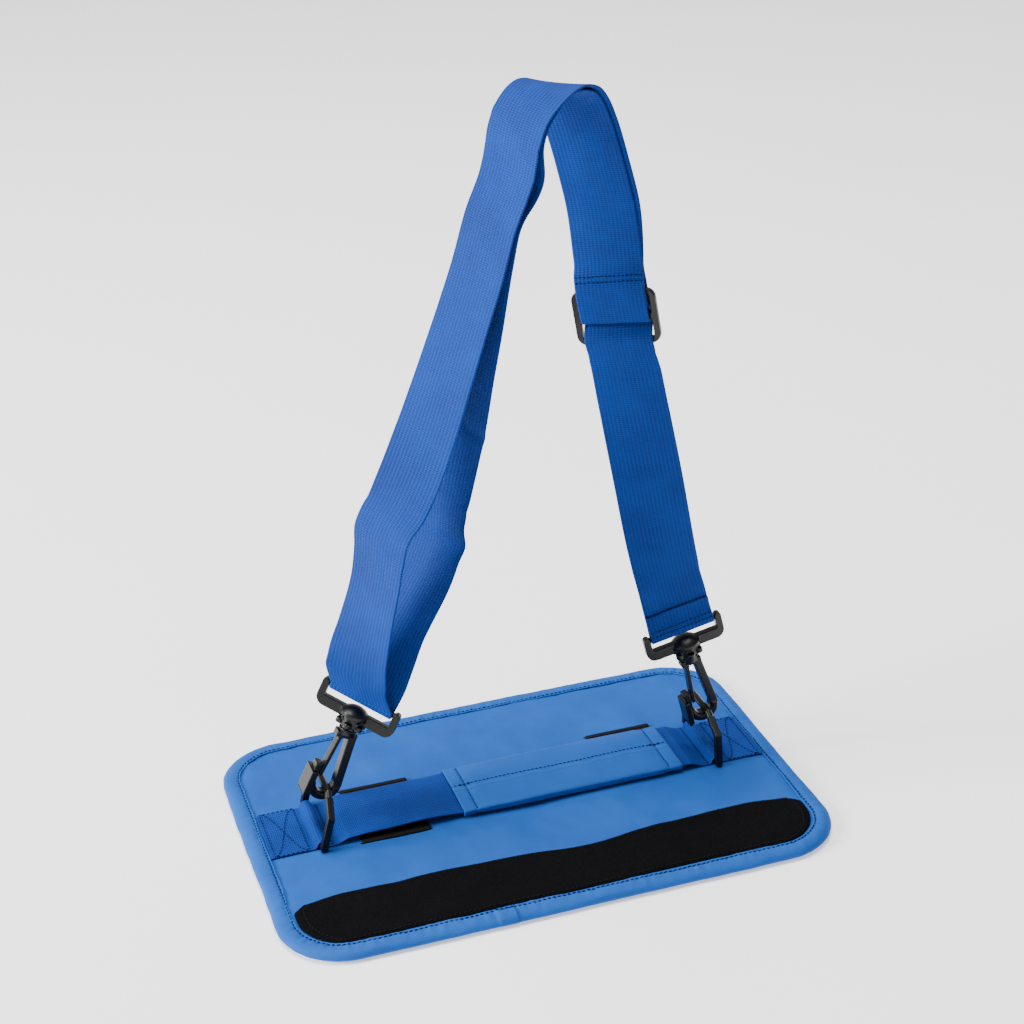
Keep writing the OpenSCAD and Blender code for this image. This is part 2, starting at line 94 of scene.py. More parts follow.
def spline(rows, step):
    """Points close together on a smooth curve through rows of numbers; the first three are a place."""
    rows = np.asarray(rows, float)
    last = len(rows) - 1
    made = []
    for i in range(last):
        a, b, c, d = rows[max(i - 1, 0)], rows[i], rows[i + 1], rows[min(i + 2, last)]
        n = max(1, int(math.ceil(np.linalg.norm(c[:3] - b[:3]) / step)))
        for k in range(n):
            u = k / n
            bent = (2 * a - 5 * b + 4 * c - d) * u**2
            made.append(0.5 * (2 * b + (c - a) * u + bent + (3 * b - a - 3 * c + d) * u**3))
    made.append(rows[last])
    return np.array(made)


def arc_length(points):
    """Length along a line of points, at each of them."""
    steps = np.linalg.norm(np.diff(points, axis=0), axis=1)
    return np.concatenate([[0], np.cumsum(steps)])


def box_mm(node):
    """Lowest and highest corner of a CAD node."""
    lo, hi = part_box(node)
    return np.array(lo) / MM, np.array(hi) / MM


# ---------- meshes ----------


def mesh_piece(name, verts, faces, material, body, uv=None, replaces=()):
    """A smooth mesh that rides on a body; uv is the place of each point on the cloth, in mm."""
    mesh = bpy.data.meshes.new(name)
    mesh.from_pydata((np.asarray(verts, float) * MM).tolist(), [], faces)
    mesh.polygons.foreach_set("use_smooth", [True] * len(mesh.polygons))
    if uv is not None:
        layer = mesh.uv_layers.new(name="weave")
        index = np.zeros(len(mesh.loops), np.int32)
        mesh.loops.foreach_get("vertex_index", index)
        layer.data.foreach_set("uv", (np.asarray(uv)[index] * MM).astype(np.float32).ravel())
    mesh.materials.append(material)
    mesh.update()
    obj = bpy.data.objects.new(name, mesh)
    bpy.context.scene.collection.objects.link(obj)
    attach(obj, body)
    if replaces:
        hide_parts(*replaces)
    return obj


def tube_faces(rings, around, turned_in=False):
    """Faces of a tube from its rings of points: capped, or its last ring joined to its first."""
    faces = []
    for i in range(rings if turned_in else rings - 1):
        a, b = i * around, (i + 1) % rings * around
        for j in range(around):
            k = (j + 1) % around
            faces.append((a + j, a + k, b + k, b + j))
    if not turned_in:
        faces.append(tuple(range(around - 1, -1, -1)))
        faces.append(tuple((rings - 1) * around + j for j in range(around)))
    return faces


class Surface:
    """A grid of points with normals, that stitches can be laid on."""

    def __init__(self, points, flip=False):
        self.places = points
        normals = unit(np.cross(np.gradient(points, axis=0), np.gradient(points, axis=1)))
        self.normals = -normals if flip else normals
        self.arc = arc_length(points[:, points.shape[1] // 2])

    def at(self, along, across):
        """Places and normals: along is an arc length in mm, across is from -1 to 1."""
        rows, cols = self.places.shape[:2]
        i = np.interp(along, self.arc, np.arange(rows))
        j = (np.asarray(across) + 1) / 2 * (cols - 1)
        i0 = np.clip(np.floor(i).astype(int), 0, rows - 2)
        j0 = np.clip(np.floor(j).astype(int), 0, cols - 2)
        fi, fj = (i - i0)[:, None], (j - j0)[:, None]

        def mix(g):
            return (
                g[i0, j0] * (1 - fi) * (1 - fj)
                + g[i0 + 1, j0] * fi * (1 - fj)
                + g[i0, j0 + 1] * (1 - fi) * fj
                + g[i0 + 1, j0 + 1] * fi * fj
            )

        return mix(self.places), unit(mix(self.normals))


# Share of the half width at each column of a webbing ribbon, and its share of the thickness there:
# the selvedges are a little thicker than the middle, and round
HALF_COLUMNS = [0.25, 0.5, 0.7, 0.86, 0.95, 0.985, 1]
HALF_FULLNESS = [1, 1, 0.97, 1, 1.05, 0.8, 0.35]
COLUMNS = np.array([-c for c in reversed(HALF_COLUMNS)] + [0] + HALF_COLUMNS)
FULLNESS = np.array(HALF_FULLNESS[::-1] + [1] + HALF_FULLNESS)


def ribbon(name, rows, width, thick, material, body, replaces, lift, ragged, seed):
    """Webbing through rows of (place, width direction), returned as its top and its under surface.

    lift(arc, across) moves it along its normal, and ragged is the unevenness of its cut ends.
    """
    points, wide = rows[:, :3], unit(rows[:, 3:6])
    run = unit(np.gradient(points, axis=0))
    normal = unit(np.cross(run, wide))
    arc = arc_length(points)
    cols = COLUMNS[None, :, None]
    middle = points[:, None] + wide[:, None] * cols * width / 2
    moved = lift(arc[:, None], COLUMNS[None, :])
    middle = middle + normal[:, None] * moved[..., None]
    rng = np.random.default_rng(seed)
    for end, sign in ((0, -1), (-1, 1)):
        middle[end] += sign * run[end] * rng.uniform(-ragged, ragged, len(COLUMNS))[:, None]
    half = normal[:, None] * (FULLNESS * thick / 2)[None, :, None]
    top, under = middle + half, middle - half
    verts = np.concatenate([top, under[:, ::-1]], axis=1).reshape(-1, 3)
    around = 2 * len(COLUMNS)
    u = np.concatenate([COLUMNS, COLUMNS[::-1]]) * width / 2
    uv = np.stack(np.broadcast_arrays(u[None, :], arc[:, None]), -1).reshape(-1, 2)
    mesh_piece(name, verts, tube_faces(len(points), around), material, body, uv, replaces)
    return Surface(top), Surface(under, flip=True)


def grid_sheet(name, xs, ys, z_top, thick, material, body, keep, replaces):
    """A cloth or foam layer over a grid, its cells kept where keep(x, y) says so, with edges closed."""
    gx, gy = np.meshgrid(xs, ys, indexing="ij")
    top = np.stack([gx, gy, z_top(gx, gy)], -1)
    under = top - np.array([0, 0, thick])
    count = gx.size
    verts = np.concatenate([top.reshape(-1, 3), under.reshape(-1, 3)])
    mid_x, mid_y = (gx[1:, 1:] + gx[:-1, :-1]) / 2, (gy[1:, 1:] + gy[:-1, :-1]) / 2
    kept = keep(mid_x, mid_y)
    rows, cols = kept.shape
    faces = []

    def number(i, j):
        return i * len(ys) + j

    for i in range(rows):
        for j in range(cols):
            if not kept[i, j]:
                continue
            a, b, c, d = number(i, j), number(i + 1, j), number(i + 1, j + 1), number(i, j + 1)
            faces.append((a, b, c, d))
            faces.append((d + count, c + count, b + count, a + count))
            for at_edge, e, f in (
                (i == 0 or not kept[i - 1, j], d, a),
                (i == rows - 1 or not kept[i + 1, j], b, c),
                (j == 0 or not kept[i, j - 1], a, b),
                (j == cols - 1 or not kept[i, j + 1], c, d),
            ):
                if at_edge:
                    faces.append((e, e + count, f + count, f))
    used = sorted({v for f in faces for v in f})
    place = {v: k for k, v in enumerate(used)}
    faces = [tuple(place[v] for v in f) for f in faces]
    verts = verts[used]
    return mesh_piece(name, verts, faces, material, body, verts[:, :2], replaces)


def upwards(places):
    """A normal that points up, for each place."""
    return np.tile([0.0, 0.0, 1.0], (len(places), 1))


# A stitch: sides of the thread, and places along it where it has a ring of points
THREAD_SIDES = 6
THREAD_RINGS = np.linspace(-1, 1, 7)
# Height of a stitch's middle over the cloth and how far its ends dip, in thread radii
THREAD_RISE, THREAD_DIP = 0.75, 1.9
THREAD_TAPER = 0.35
THREAD_STRAY = 0.12


def stitches(name, lines, material, body, pitch, length, radius, seed=5):
    """Threads along lines of (places, normals): each stitch rises from the cloth and dips back in."""
    rng = np.random.default_rng(seed)
    verts, faces = [], []
    for places, normals in lines:
        arc = arc_length(places)
        count = max(1, int(arc[-1] // pitch))
        starts = (np.arange(count) + 0.5) * arc[-1] / count
        for middle in starts:
            span = length * rng.uniform(0.92, 1.06)
            at = np.clip(middle + THREAD_RINGS * span / 2, 0, arc[-1])
            p = np.stack([np.interp(at, arc, places[:, k]) for k in range(3)], 1)
            n = unit(np.stack([np.interp(at, arc, normals[:, k]) for k in range(3)], 1))
            run = unit(np.gradient(p, axis=0) + 1e-9)
            side = unit(np.cross(run, n))
            p = p + n * (radius * (THREAD_RISE - THREAD_DIP * THREAD_RINGS**4))[:, None]
            p = p + side * rng.uniform(-THREAD_STRAY, THREAD_STRAY)
            fat = radius * (1 - THREAD_TAPER * THREAD_RINGS**4)
            base = len(verts)
            for k in range(len(THREAD_RINGS)):
                for turn in range(THREAD_SIDES):
                    a = 2 * math.pi * turn / THREAD_SIDES
                    verts.append(p[k] + fat[k] * (math.cos(a) * side[k] + math.sin(a) * n[k]))
            thread = tube_faces(len(THREAD_RINGS), THREAD_SIDES)
            faces += [tuple(v + base for v in f) for f in thread]
    return mesh_piece(name, verts, faces, material, body)


# ---------- materials ----------


class Material:
    """A node material built line by line."""

    def __init__(self, name):
        self.material = bpy.data.materials.new(name)
        self.material.use_nodes = True
        self.tree = self.material.node_tree
        self.tree.nodes.clear()

    def add(self, kind, inputs=None, **settings):
        """A node, with each input set to a number or joined to another node's output."""
        node = self.tree.nodes.new("ShaderNode" + kind)
        for key, value in settings.items():
            setattr(node, key, value)
        for key, value in (inputs or {}).items():
            if isinstance(value, bpy.types.NodeSocket):
                self.tree.links.new(value, node.inputs[key])
            else:
                node.inputs[key].default_value = value
        return node

    def math(self, operation, a, b=0.0):
        return self.add("Math", {0: a, 1: b}, operation=operation).outputs[0]

    def blend(self, a, a_share, b, b_share):
        """Sum of two values, each times its share."""
        return self.math("ADD", self.math("MULTIPLY", a, a_share), self.math("MULTIPLY", b, b_share))

    def noise(self, vector, scale, detail=3.0, rough=0.55):
        inputs = {"Vector": vector, "Scale": scale, "Detail": detail, "Roughness": rough}
        return self.add("TexNoise", inputs).outputs[0]

    def ramp(self, value, stops):
        """A colour from a value, by (place, colour) stops."""
        node = self.add("ValToRGB", {"Fac": value})
        elements = node.color_ramp.elements
        while len(elements) < len(stops):
            elements.new(0.5)
        for element, (place, color) in zip(elements, stops):
            element.position = place
            element.color = (*color, 1)
        return node.outputs[0]

    def grey(self, value, low, high):
        """A number from low to high, driven by a texture value from 0 to 1."""
        node = self.add("MapRange", {"Value": value, "To Min": low, "To Max": high})
        return node.outputs[0]

    def finish(self, color, roughness, height, distance, strength, **inputs):
        """The shader and the output; height is a bump of the given distance in metres."""
        values = {"Base Color": color, "Roughness": roughness, **inputs}
        bump = self.add("Bump", {"Height": height, "Distance": distance, "Strength": strength})
        values["Normal"] = bump.outputs[0]
        shader = self.add("BsdfPrincipled", values)
        self.add("OutputMaterial", {"Surface": shader.outputs[0]})
        return self.material


def ribs(m, coordinate, pitch):
    """0 to 1, high in the middle of each rib, for a coordinate in metres."""
    turned = m.math("MULTIPLY", coordinate, 2 * math.pi / pitch)
    node = m.add("Math", {0: m.math("SINE", turned), 1: 0.5, 2: 0.5}, operation="MULTIPLY_ADD")
    return node.outputs[0]


# Noise scales of all cloth, per metre: how the ribs drift, single fibres, soft patches of tone
RIB_DRIFT, FIBRES, PATCHES = 110.0, 2600.0, 26.0
# Share of a rib that the ribs drift by, and the fibres' share of the bump
DRIFT_SHARE, FIBRE_SHARE = 0.7, 0.04


def woven(name, dark, light, length_rib, cross_rib, depth, rough, sheen, strength=0.8,
          contrast=1.0, lengthwise=0.45):
    """Cloth or webbing with ribs along and across it, laid out on its weave map in metres."""
    m = Material(name)
    uv = m.add("UVMap", uv_map="weave").outputs[0]
    parts = m.add("SeparateXYZ", {0: uv})
    drift = m.math("MULTIPLY", m.noise(uv, RIB_DRIFT, 0.0), cross_rib * DRIFT_SHARE)
    along = ribs(m, m.math("ADD", parts.outputs[1], drift), cross_rib)
    across = ribs(m, parts.outputs[0], length_rib)
    fibres = m.noise(uv, FIBRES, 2.0)
    patch = m.noise(uv, PATCHES, 5.0, 0.65)
    height = m.blend(along, 1.05 - lengthwise, across, lengthwise)
    height = m.math("ADD", height, m.math("MULTIPLY", fibres, FIBRE_SHARE))
    # The colour follows the ribs' height: darker in the grooves, a painted shade, mixed with random
    # patches of tone
    tone = m.blend(height, 0.42 * contrast, patch, 0.5)
    return m.finish(
        m.ramp(tone, [(0.2, dark), (0.75, light)]), m.grey(patch, rough - 0.08, rough + 0.1),
        height, depth, strength,
        **{"Sheen Weight": sheen, "Sheen Roughness": 0.4, "Specular IOR Level": 0.12},
    )


def thread(name, dark, light):
    """Sewing thread."""
    return woven(
        name, dark, light, length_rib=0.0004, cross_rib=0.0004, depth=0.00005, rough=0.6, sheen=0.0
    )


def pile(name, dark, light, scale):
    """Hook-and-loop tape: a felted mass of tiny loops or hooks."""
    m = Material(name)
    place = m.add("TexCoord").outputs["Object"]
    cells = m.add("TexVoronoi", {"Vector": place, "Scale": scale}).outputs["Distance"]
    fuzz = m.noise(place, scale * 2.2, 4.0, 0.7)
    patch = m.noise(place, 45.0, 3.0)
    height = m.math("SUBTRACT", fuzz, m.math("MULTIPLY", cells, 0.7))
    # The colour follows the bump: darker where the pile is low, a painted shade in its hollows, mixed
    # with random patches of tone
    color = m.ramp(m.blend(height, 0.6, patch, 0.4), [(0.1, dark), (0.9, light)])
    rough = m.grey(patch, 0.8, 0.95)
    return m.finish(color, rough, height, 0.0005, 0.9, **{"Specular IOR Level": 0.06})


def plastic(name, dark, light):
    """Moulded satin plastic: fine grain, handled edges a little polished and painted lighter: a painted
    highlight with some wear.
    """
    m = Material(name)
    place = m.add("TexCoord").outputs["Object"]
    grain = m.noise(place, 2400.0, 3.0)
    cloud = m.noise(place, 90.0, 4.0)
    scuff = m.noise(place, 600.0, 5.0, 0.7)
    edge = m.add("NewGeometry").outputs["Pointiness"]
    # Sharp edges are painted lighter, a painted highlight with some wear; they are also a little less
    # rough
    edge_highlight_and_wear = m.ramp(edge, [(0.50, (0, 0, 0)), (0.58, (1, 1, 1))])
    color = m.ramp(m.blend(cloud, 0.5, edge_highlight_and_wear, 0.35), [(0.2, dark), (0.9, light)])
    height = m.blend(grain, 0.6, scuff, 0.4)
    rough = m.math("SUBTRACT", m.grey(scuff, 0.27, 0.42), m.math("MULTIPLY", edge_highlight_and_wear, 0.08))
    return m.finish(color, rough, height, 0.00006, 0.5, **{"Specular IOR Level": 0.34})


def foam(name, dark, light):
    """Closed-cell foam."""
    m = Material(name)
    place = m.add("TexCoord").outputs["Object"]
    cells = m.add("TexVoronoi", {"Vector": place, "Scale": 900.0}).outputs["Distance"]
    patch = m.noise(place, 60.0)
    # The colour follows the cells of the bump: darker in their pits, a painted shade, mixed with random
    # patches of tone
    color = m.ramp(m.blend(cells, 0.6, patch, 0.4), [(0.1, dark), (0.9, light)])
    return m.finish(color, m.grey(patch, 0.85, 0.97), cells, 0.0004, 0.8)


def floor_paper(name):
    """White studio paper, with a faint glow."""
    m = Material(name)
    place = m.add("TexCoord").outputs["Object"]
    cloud = m.noise(place, 3.0)
    grain = m.noise(place, 900.0)
    color = m.ramp(cloud, [(0.3, (0.9, 0.9, 0.9)), (0.7, (0.93, 0.93, 0.93))])
    glow = {"Emission Color": (1, 1, 1, 1), "Emission Strength": 0.6}
    return m.finish(color, m.grey(grain, 0.75, 0.9), grain, 0.00005, 0.2, **glow)


NYLON = woven(
    "nylon_cover", (0.004, 0.058, 0.28), (0.012, 0.115, 0.45), length_rib=0.0009, cross_rib=0.0009,
    depth=0.00014, rough=0.5, sheen=0.04, strength=0.5, contrast=0.6,
)
TAPE = woven(
    "binding_tape", (0.004, 0.060, 0.29), (0.012, 0.110, 0.43), length_rib=0.0011, cross_rib=0.0011,
    depth=0.00012, rough=0.6, sheen=0.05, strength=0.6, contrast=0.8,
)
WEBBING = woven(
    "ribbed_webbing", (0.0005, 0.016, 0.12), (0.002, 0.052, 0.32), length_rib=0.0024,
    cross_rib=0.0013, depth=0.0003, rough=0.62, sheen=0.02, strength=0.75, contrast=0.9,
    lengthwise=0.5,
)
LOOP_PILE = pile("loop_pile", (0.001, 0.001, 0.0015), (0.006, 0.006, 0.007), 900.0)
HOOK_PILE = pile("hook_pile", (0.002, 0.002, 0.0025), (0.012, 0.012, 0.013), 620.0)
CINCH = woven(
    "black_strap", (0.0015, 0.0015, 0.002), (0.010, 0.010, 0.011), length_rib=0.0016,
    cross_rib=0.0012, depth=0.00022, rough=0.7, sheen=0.0,
)
BLACK = plastic("black_plastic", (0.0012, 0.0012, 0.0015), (0.006, 0.006, 0.0065))
FOAM = foam("grey_foam", (0.10, 0.10, 0.11), (0.25, 0.26, 0.28))
NAVY_THREAD = thread("navy_thread", (0.001, 0.005, 0.035), (0.002, 0.015, 0.08))
BLACK_THREAD = thread("black_thread", (0.001, 0.001, 0.0015), (0.006, 0.006, 0.007))


# ---------- the panel ----------

rim_hi = box_mm("edge_binding")[1]
cover_lo, cover_hi = box_mm("outer_cover")
core_lo, core_hi = box_mm("foam_core")
lining_top = box_mm("lining")[1][2]
loop_lo, loop_hi = box_mm("loop_strip")
hook_lo, hook_hi = box_mm("hook_strip")
half_l, half_w = rim_hi[0], rim_hi[1]
FACE = cover_hi[2]
CORNER = 42.0
BINDING = 12.0
# Where the handle is sewn down the cover lies flat: place, reach and softness of that spot
SEWN_X, SEWN_REACH, SEWN_SOFT = 130, 32, 14
SEWN_Y, SEWN_SPREAD = 12, 26
# Heights of the cover: swelling beside the binding, slow and quick waves, puckers, tuck under it
SWELL, SLOW_WAVE, QUICK_WAVE = 0.35, 0.55, 0.16
PUCKER_WIDE, PUCKER_FINE, TUCK = 0.22, 0.12, 0.30
LINING_T, LINING_WAVE = 0.5, 0.06
# How far the foam keeps below the cover's top, and the room it leaves in its own thickness
FOAM_BELOW, FOAM_ROOM = 0.85, 1.2
# The skins reach this far under the binding, and their grid has this spacing
UNDER_RIM = 6
GRID_INSET, GRID_STEP = 3, 2.0
slow = waves(11, 62)
quick_wave = waves(12, 26)
rim_gather = waves(13, 8)


def depth_inside(x, y):
    """Distance inside the panel's rounded outline, in mm."""
    qx = np.abs(x) - (half_l - CORNER)
    qy = np.abs(y) - (half_w - CORNER)
    outside = np.hypot(np.maximum(qx, 0), np.maximum(qy, 0))
    return CORNER - (outside + np.minimum(np.maximum(qx, qy), 0))


def cover_height(x, y):
    """Height of the cover's top: gently waved, puckered by the binding and calm under the handle."""
    inside = depth_inside(x, y) - BINDING
    away = (np.abs(np.abs(x) - SEWN_X) - SEWN_REACH) / SEWN_SOFT
    quiet = smooth(away + bell(y, SEWN_Y, SEWN_SPREAD) * -3 + 1.0)
    swell = SWELL * bell(inside, 8, 6) * quiet
    soft = (SLOW_WAVE * slow(x, y) + QUICK_WAVE * quick_wave(y, x)) * smooth(inside / 20) * quiet
    pucker = (PUCKER_WIDE * quick_wave(x, y) + PUCKER_FINE * rim_gather(x, y)) * bell(inside, 1, 6)
    return FACE + swell + soft + pucker - TUCK * bell(inside, -2, 3)


def lines_with(values, low, high, step):
    """Evenly spaced grid lines from low to high, and a line at each of the values."""
    count = int(round((high - low) / step))
    even = np.round(np.linspace(low, high, count + 1), 3)
    return np.array(sorted(set(even) | set(np.round(values, 3))))


cinch_boxes = {side: box_mm("cinch_strap_" + side) for side in ("left", "right")}
CINCH_T = 0.8
CINCH_TAIL = 34.0
SLIT_HALF = 0.9
# Each cinch strap's two slits: lowest x, highest x, and the y of the back and front slit
SLITS = [
    (lo[0] - 1, hi[0] + 1, (hi[1] - CINCH_T / 2, lo[1] + CINCH_TAIL - CINCH_T / 2))
    for lo, hi in cinch_boxes.values()
]
grid_x = lines_with(
    [v for x0, x1, _ in SLITS for v in (x0, x1)],
    cover_lo[0] + GRID_INSET, cover_hi[0] - GRID_INSET, GRID_STEP,
)
grid_y = lines_with(
    [y + s * SLIT_HALF for _, _, ys in SLITS for y in ys for s in (-1, 1)],
    cover_lo[1] + GRID_INSET, cover_hi[1] - GRID_INSET, GRID_STEP,
)


def in_panel(x, y):
    """True inside the panel's skins and outside the slits."""
    kept = depth_inside(x, y) > UNDER_RIM
    for x0, x1, ys in SLITS:
        for y0 in ys:
            kept &= ~((x > x0) & (x < x1) & (np.abs(y - y0) < SLIT_HALF))
    return kept


cover = grid_sheet(
    "panel_cover", grid_x, grid_y, cover_height, cover_hi[2] - cover_lo[2] - 0.1,
    NYLON, "panel", in_panel, ["outer_cover"],
)
lining = grid_sheet(
    "panel_lining", grid_x, grid_y, lambda x, y: lining_top + LINING_WAVE * slow(x, y),
    LINING_T, NYLON, "panel", in_panel, ["lining"],
)
padding = grid_sheet(
    "panel_padding", grid_x[::2], grid_y,
    lambda x, y: np.minimum(core_hi[2] - 0.2, cover_height(x, y) - FOAM_BELOW),
    core_hi[2] - core_lo[2] - FOAM_ROOM, FOAM, "panel", in_panel, ["foam_core"],
)


# ---------- edge binding ----------

# Where the tape's ends overlap on the front edge, and by how much
JOIN_X = -50.0
JOIN_OVER = 11.0
JOIN_RISE, JOIN_NARROW = 0.62, 0.25
# The row of stitches: distance in from the edge, pitch, and depth of the dimple at each stitch
STITCH_IN = 10.4
STITCH_PITCH = 3.1
DIMPLE = 0.16
RIM_STEP = 0.9


def rim_path():
    """Points round the panel's outline from the join, with the way inwards at each."""
    sx, sy = half_l - CORNER, half_w - CORNER
    points, inward = [], []

    def straight(a, b, n):
        a, b = np.array(a), np.array(b)
        count = int(np.linalg.norm(b - a) / RIM_STEP)
        for k in range(count):
            points.append(a + (b - a) * k / count)
            inward.append(n)

    def turn(centre, start):
        count = int(CORNER * math.pi / 2 / RIM_STEP)
        for k in range(count):
            a = start + math.pi / 2 * k / count
            out = np.array([math.cos(a), math.sin(a)])
            points.append(np.array(centre) + CORNER * out)
            inward.append(-out)

    straight((JOIN_X, -half_w), (sx, -half_w), (0, 1))
    turn((sx, -sy), -math.pi / 2)
    straight((half_l, -sy), (half_l, sy), (-1, 0))
    turn((sx, sy), 0)
    straight((sx, half_w), (-sx, half_w), (0, -1))
    turn((-sx, sy), math.pi / 2)
    straight((-half_l, sy), (-half_l, -sy), (1, 0))
    turn((-sx, -sy), math.pi)
    straight((-sx, -half_w), (JOIN_X + JOIN_OVER, -half_w), (0, 1))
    return np.array(points), np.array(inward, float)


rim_points, rim_inward = rim_path()
rim_arc = arc_length(rim_points)
rim_length = rim_arc[-1]
# Section of the folded tape: distance in from the panel's edge, height above the base
SECTION = np.array([
    (12.0, 5.45), (11.95, 6.05), (11.6, 6.32), (11.1, 6.2), (10.4, 5.75), (9.7, 6.0), (8.8, 6.3),
    (7.0, 6.5), (5.2, 6.42), (3.6, 6.05), (2.2, 5.4), (1.1, 4.6), (0.35, 3.8), (0.0, 3.0),
    (0.3, 2.2), (1.0, 1.3), (2.1, 0.6), (3.6, 0.15), (5.4, 0.02), (9.0, 0.0), (11.5, 0.02),
    (12.0, 0.25), (11.9, 0.72), (8.0, 0.78), (4.2, 0.9), (2.0, 1.7), (1.1, 3.0), (2.0, 4.4),
    (4.2, 5.3), (8.0, 5.5), (11.6, 5.42),
])
# Column of the section that the stitches lie on, and the height of those on the underside
STITCH_COLUMN = 4
UNDER_STITCHES = 0.12
# Unevenness of the tape: its inner edge, its rounded edge, its top, and the creases by the stitches
INNER_WANDER, INNER_QUICK = 0.55, 0.22
OUTER_INSET, OUTER_WANDER, OUTER_QUICK = 0.35, 0.30, 0.16
TOP_SLOW, TOP_QUICK = 0.18, 0.16
CREASE_BACK, CREASE_SPREAD, CREASE = 2.2, 3.4, 0.26
rim_slow = waves(21, 60)
rim_quick = waves(22, 13)
rim_edge = waves(23, 34)
rim_crease = waves(24, 6.5)


def binding_rows(arc):
    """Section of the tape at each arc length: distance in, height."""
    inset = np.broadcast_to(SECTION[:, 0], (len(arc), len(SECTION))).copy()
    height = np.broadcast_to(SECTION[:, 1], (len(arc), len(SECTION))).copy()
    s = arc[:, None]
    inner = smooth((inset - 3) / 8)
    upper = smooth((height - 3.2) / 2)
    outer_edge = smooth((3 - inset) / 3)
    crease = rim_crease(s * 1.3, inset * 0.6)
    inset += inner * (INNER_WANDER * rim_edge(s) + INNER_QUICK * rim_quick(s * 1.7))
    inset += outer_edge * (OUTER_INSET + OUTER_WANDER * rim_slow(s) + OUTER_QUICK * rim_quick(s))
    height += upper * (TOP_SLOW * rim_slow(s, inset * 3) + TOP_QUICK * rim_quick(s, inset))
    height += upper * bell(inset, STITCH_IN - CREASE_BACK, CREASE_SPREAD) * CREASE * crease
    beat = np.cos(2 * math.pi * s / STITCH_PITCH)
    height += upper * bell(inset, STITCH_IN, 1.5) * DIMPLE * beat
    over = smooth((s - (rim_length - JOIN_OVER)) / 1.2 + 1)
    height += upper * over * JOIN_RISE
    inset -= over * JOIN_NARROW * (1 - inner)
    return inset, height


rim_inset, rim_height = binding_rows(rim_arc)
rim_verts = np.zeros((len(rim_arc), len(SECTION), 3))
rim_verts[..., :2] = rim_points[:, None] + rim_inward[:, None] * rim_inset[..., None]
rim_verts[..., 2] = np.maximum(rim_height, 0)
rim_uv = np.stack(np.broadcast_arrays(arc_length(SECTION), rim_arc[:, None]), -1).reshape(-1, 2)
mesh_piece(
    "binding", rim_verts.reshape(-1, 3), tube_faces(len(rim_arc), len(SECTION)), TAPE,
    "panel", rim_uv, ["edge_binding"],
)
rim_line = np.zeros((len(rim_arc), 3))
rim_line[:, :2] = rim_points + rim_inward * STITCH_IN
rim_line[:, 2] = rim_verts[:, STITCH_COLUMN, 2]
under_line = rim_line.copy()
under_line[:, 2] = UNDER_STITCHES
stitches(
    "stitches_binding", [(rim_line, upwards(rim_line)), (under_line, -upwards(under_line))],
    NAVY_THREAD, "panel", pitch=STITCH_PITCH, length=2.7, radius=0.46,
)


# ---------- closure tapes ----------

# How far a strip's inner edge bows towards the panel's middle, and how far its inner corners are cut
BOW = 3.6
ROUNDED = 7.0
# The strips were cut by hand: length and height of the waves of their edges
CUT_WAVE, CUT_AMOUNT = 62, 0.45
# Lengths of the two waves that make the pile uneven
FLUFF_SHORT, FLUFF_LONG = 1.7, 3.1
TAPE_GRID = (340, 46)
# Column of that grid that the seam follows, and row that it turns at
SEAM_COLUMN, SEAM_ROW = 2, 6


def tape(name, lo, hi, sign, material, thick, fluff, node, seed):
    """A closure strip whose ends follow the panel's corners; sign is the face that the pile is on."""
    rows, cols = TAPE_GRID
    v = np.linspace(0, 1, cols)
    y = lo[1] + (hi[1] - lo[1]) * v
    away = np.abs(y) - (half_w - CORNER)
    reach = np.sqrt(np.maximum((CORNER - BINDING - 1) ** 2 - np.maximum(away, 0) ** 2, 0))
    reach = half_l - CORNER + reach
    # 1 at the strip's edge that looks to the panel's middle
    inner_v = v if sign > 0 else 1 - v
    reach = reach - ROUNDED * smooth((inner_v - 0.8) / 0.2) ** 2
    u = np.linspace(-1, 1, rows)[:, None]
    x = u * reach[None, :]
    edge = waves(seed, CUT_WAVE)
    y = y[None, :] + 0 * u
    bow = BOW * (1 - 1.7 * bell(x, 20, 34)) * (1 - smooth((np.abs(x) - 128) / 32))
    y = y + sign * smooth(inner_v * 1.6 - 0.5) * bow
    y = y + np.where(v > 0.5, 1, -1) * smooth(np.abs(v - 0.5) * 4 - 1) * CUT_AMOUNT * edge(x)
    rim_share = smooth(np.minimum(v, 1 - v) / 0.05)[None, :] * smooth((1 - np.abs(u)) / 0.008)
    tufts = waves(seed + 1, FLUFF_SHORT, 9)(x, y) * waves(seed + 2, FLUFF_LONG, 9)(x, y)
    base = cover_height(x, y) if sign > 0 else np.full_like(x, hi[2])
    face = base + sign * (thick * (0.45 + 0.55 * rim_share) + fluff * tufts * rim_share)
    if sign < 0:
        face = np.maximum(face, lo[2])
    top = np.stack([x, y, face], -1)
    under = np.stack([x, y, base - sign * 0.05], -1)
    verts = np.concatenate([top, under[:, ::-1]], axis=1).reshape(-1, 3)
    faces = tube_faces(rows, 2 * cols)
    mesh_piece(name, verts, faces, material, "panel", verts[:, :2], [node])
    return top


loop_top = tape(
    "loop_tape", loop_lo, loop_hi, 1, LOOP_PILE, thick=loop_hi[2] - loop_lo[2] - 0.1, fluff=0.1,
    node="loop_strip", seed=31,
)
tape(
    "hook_tape", hook_lo, hook_hi, -1, HOOK_PILE, thick=hook_hi[2] - hook_lo[2] - 0.05, fluff=0.08,
    node="hook_strip", seed=41,
)


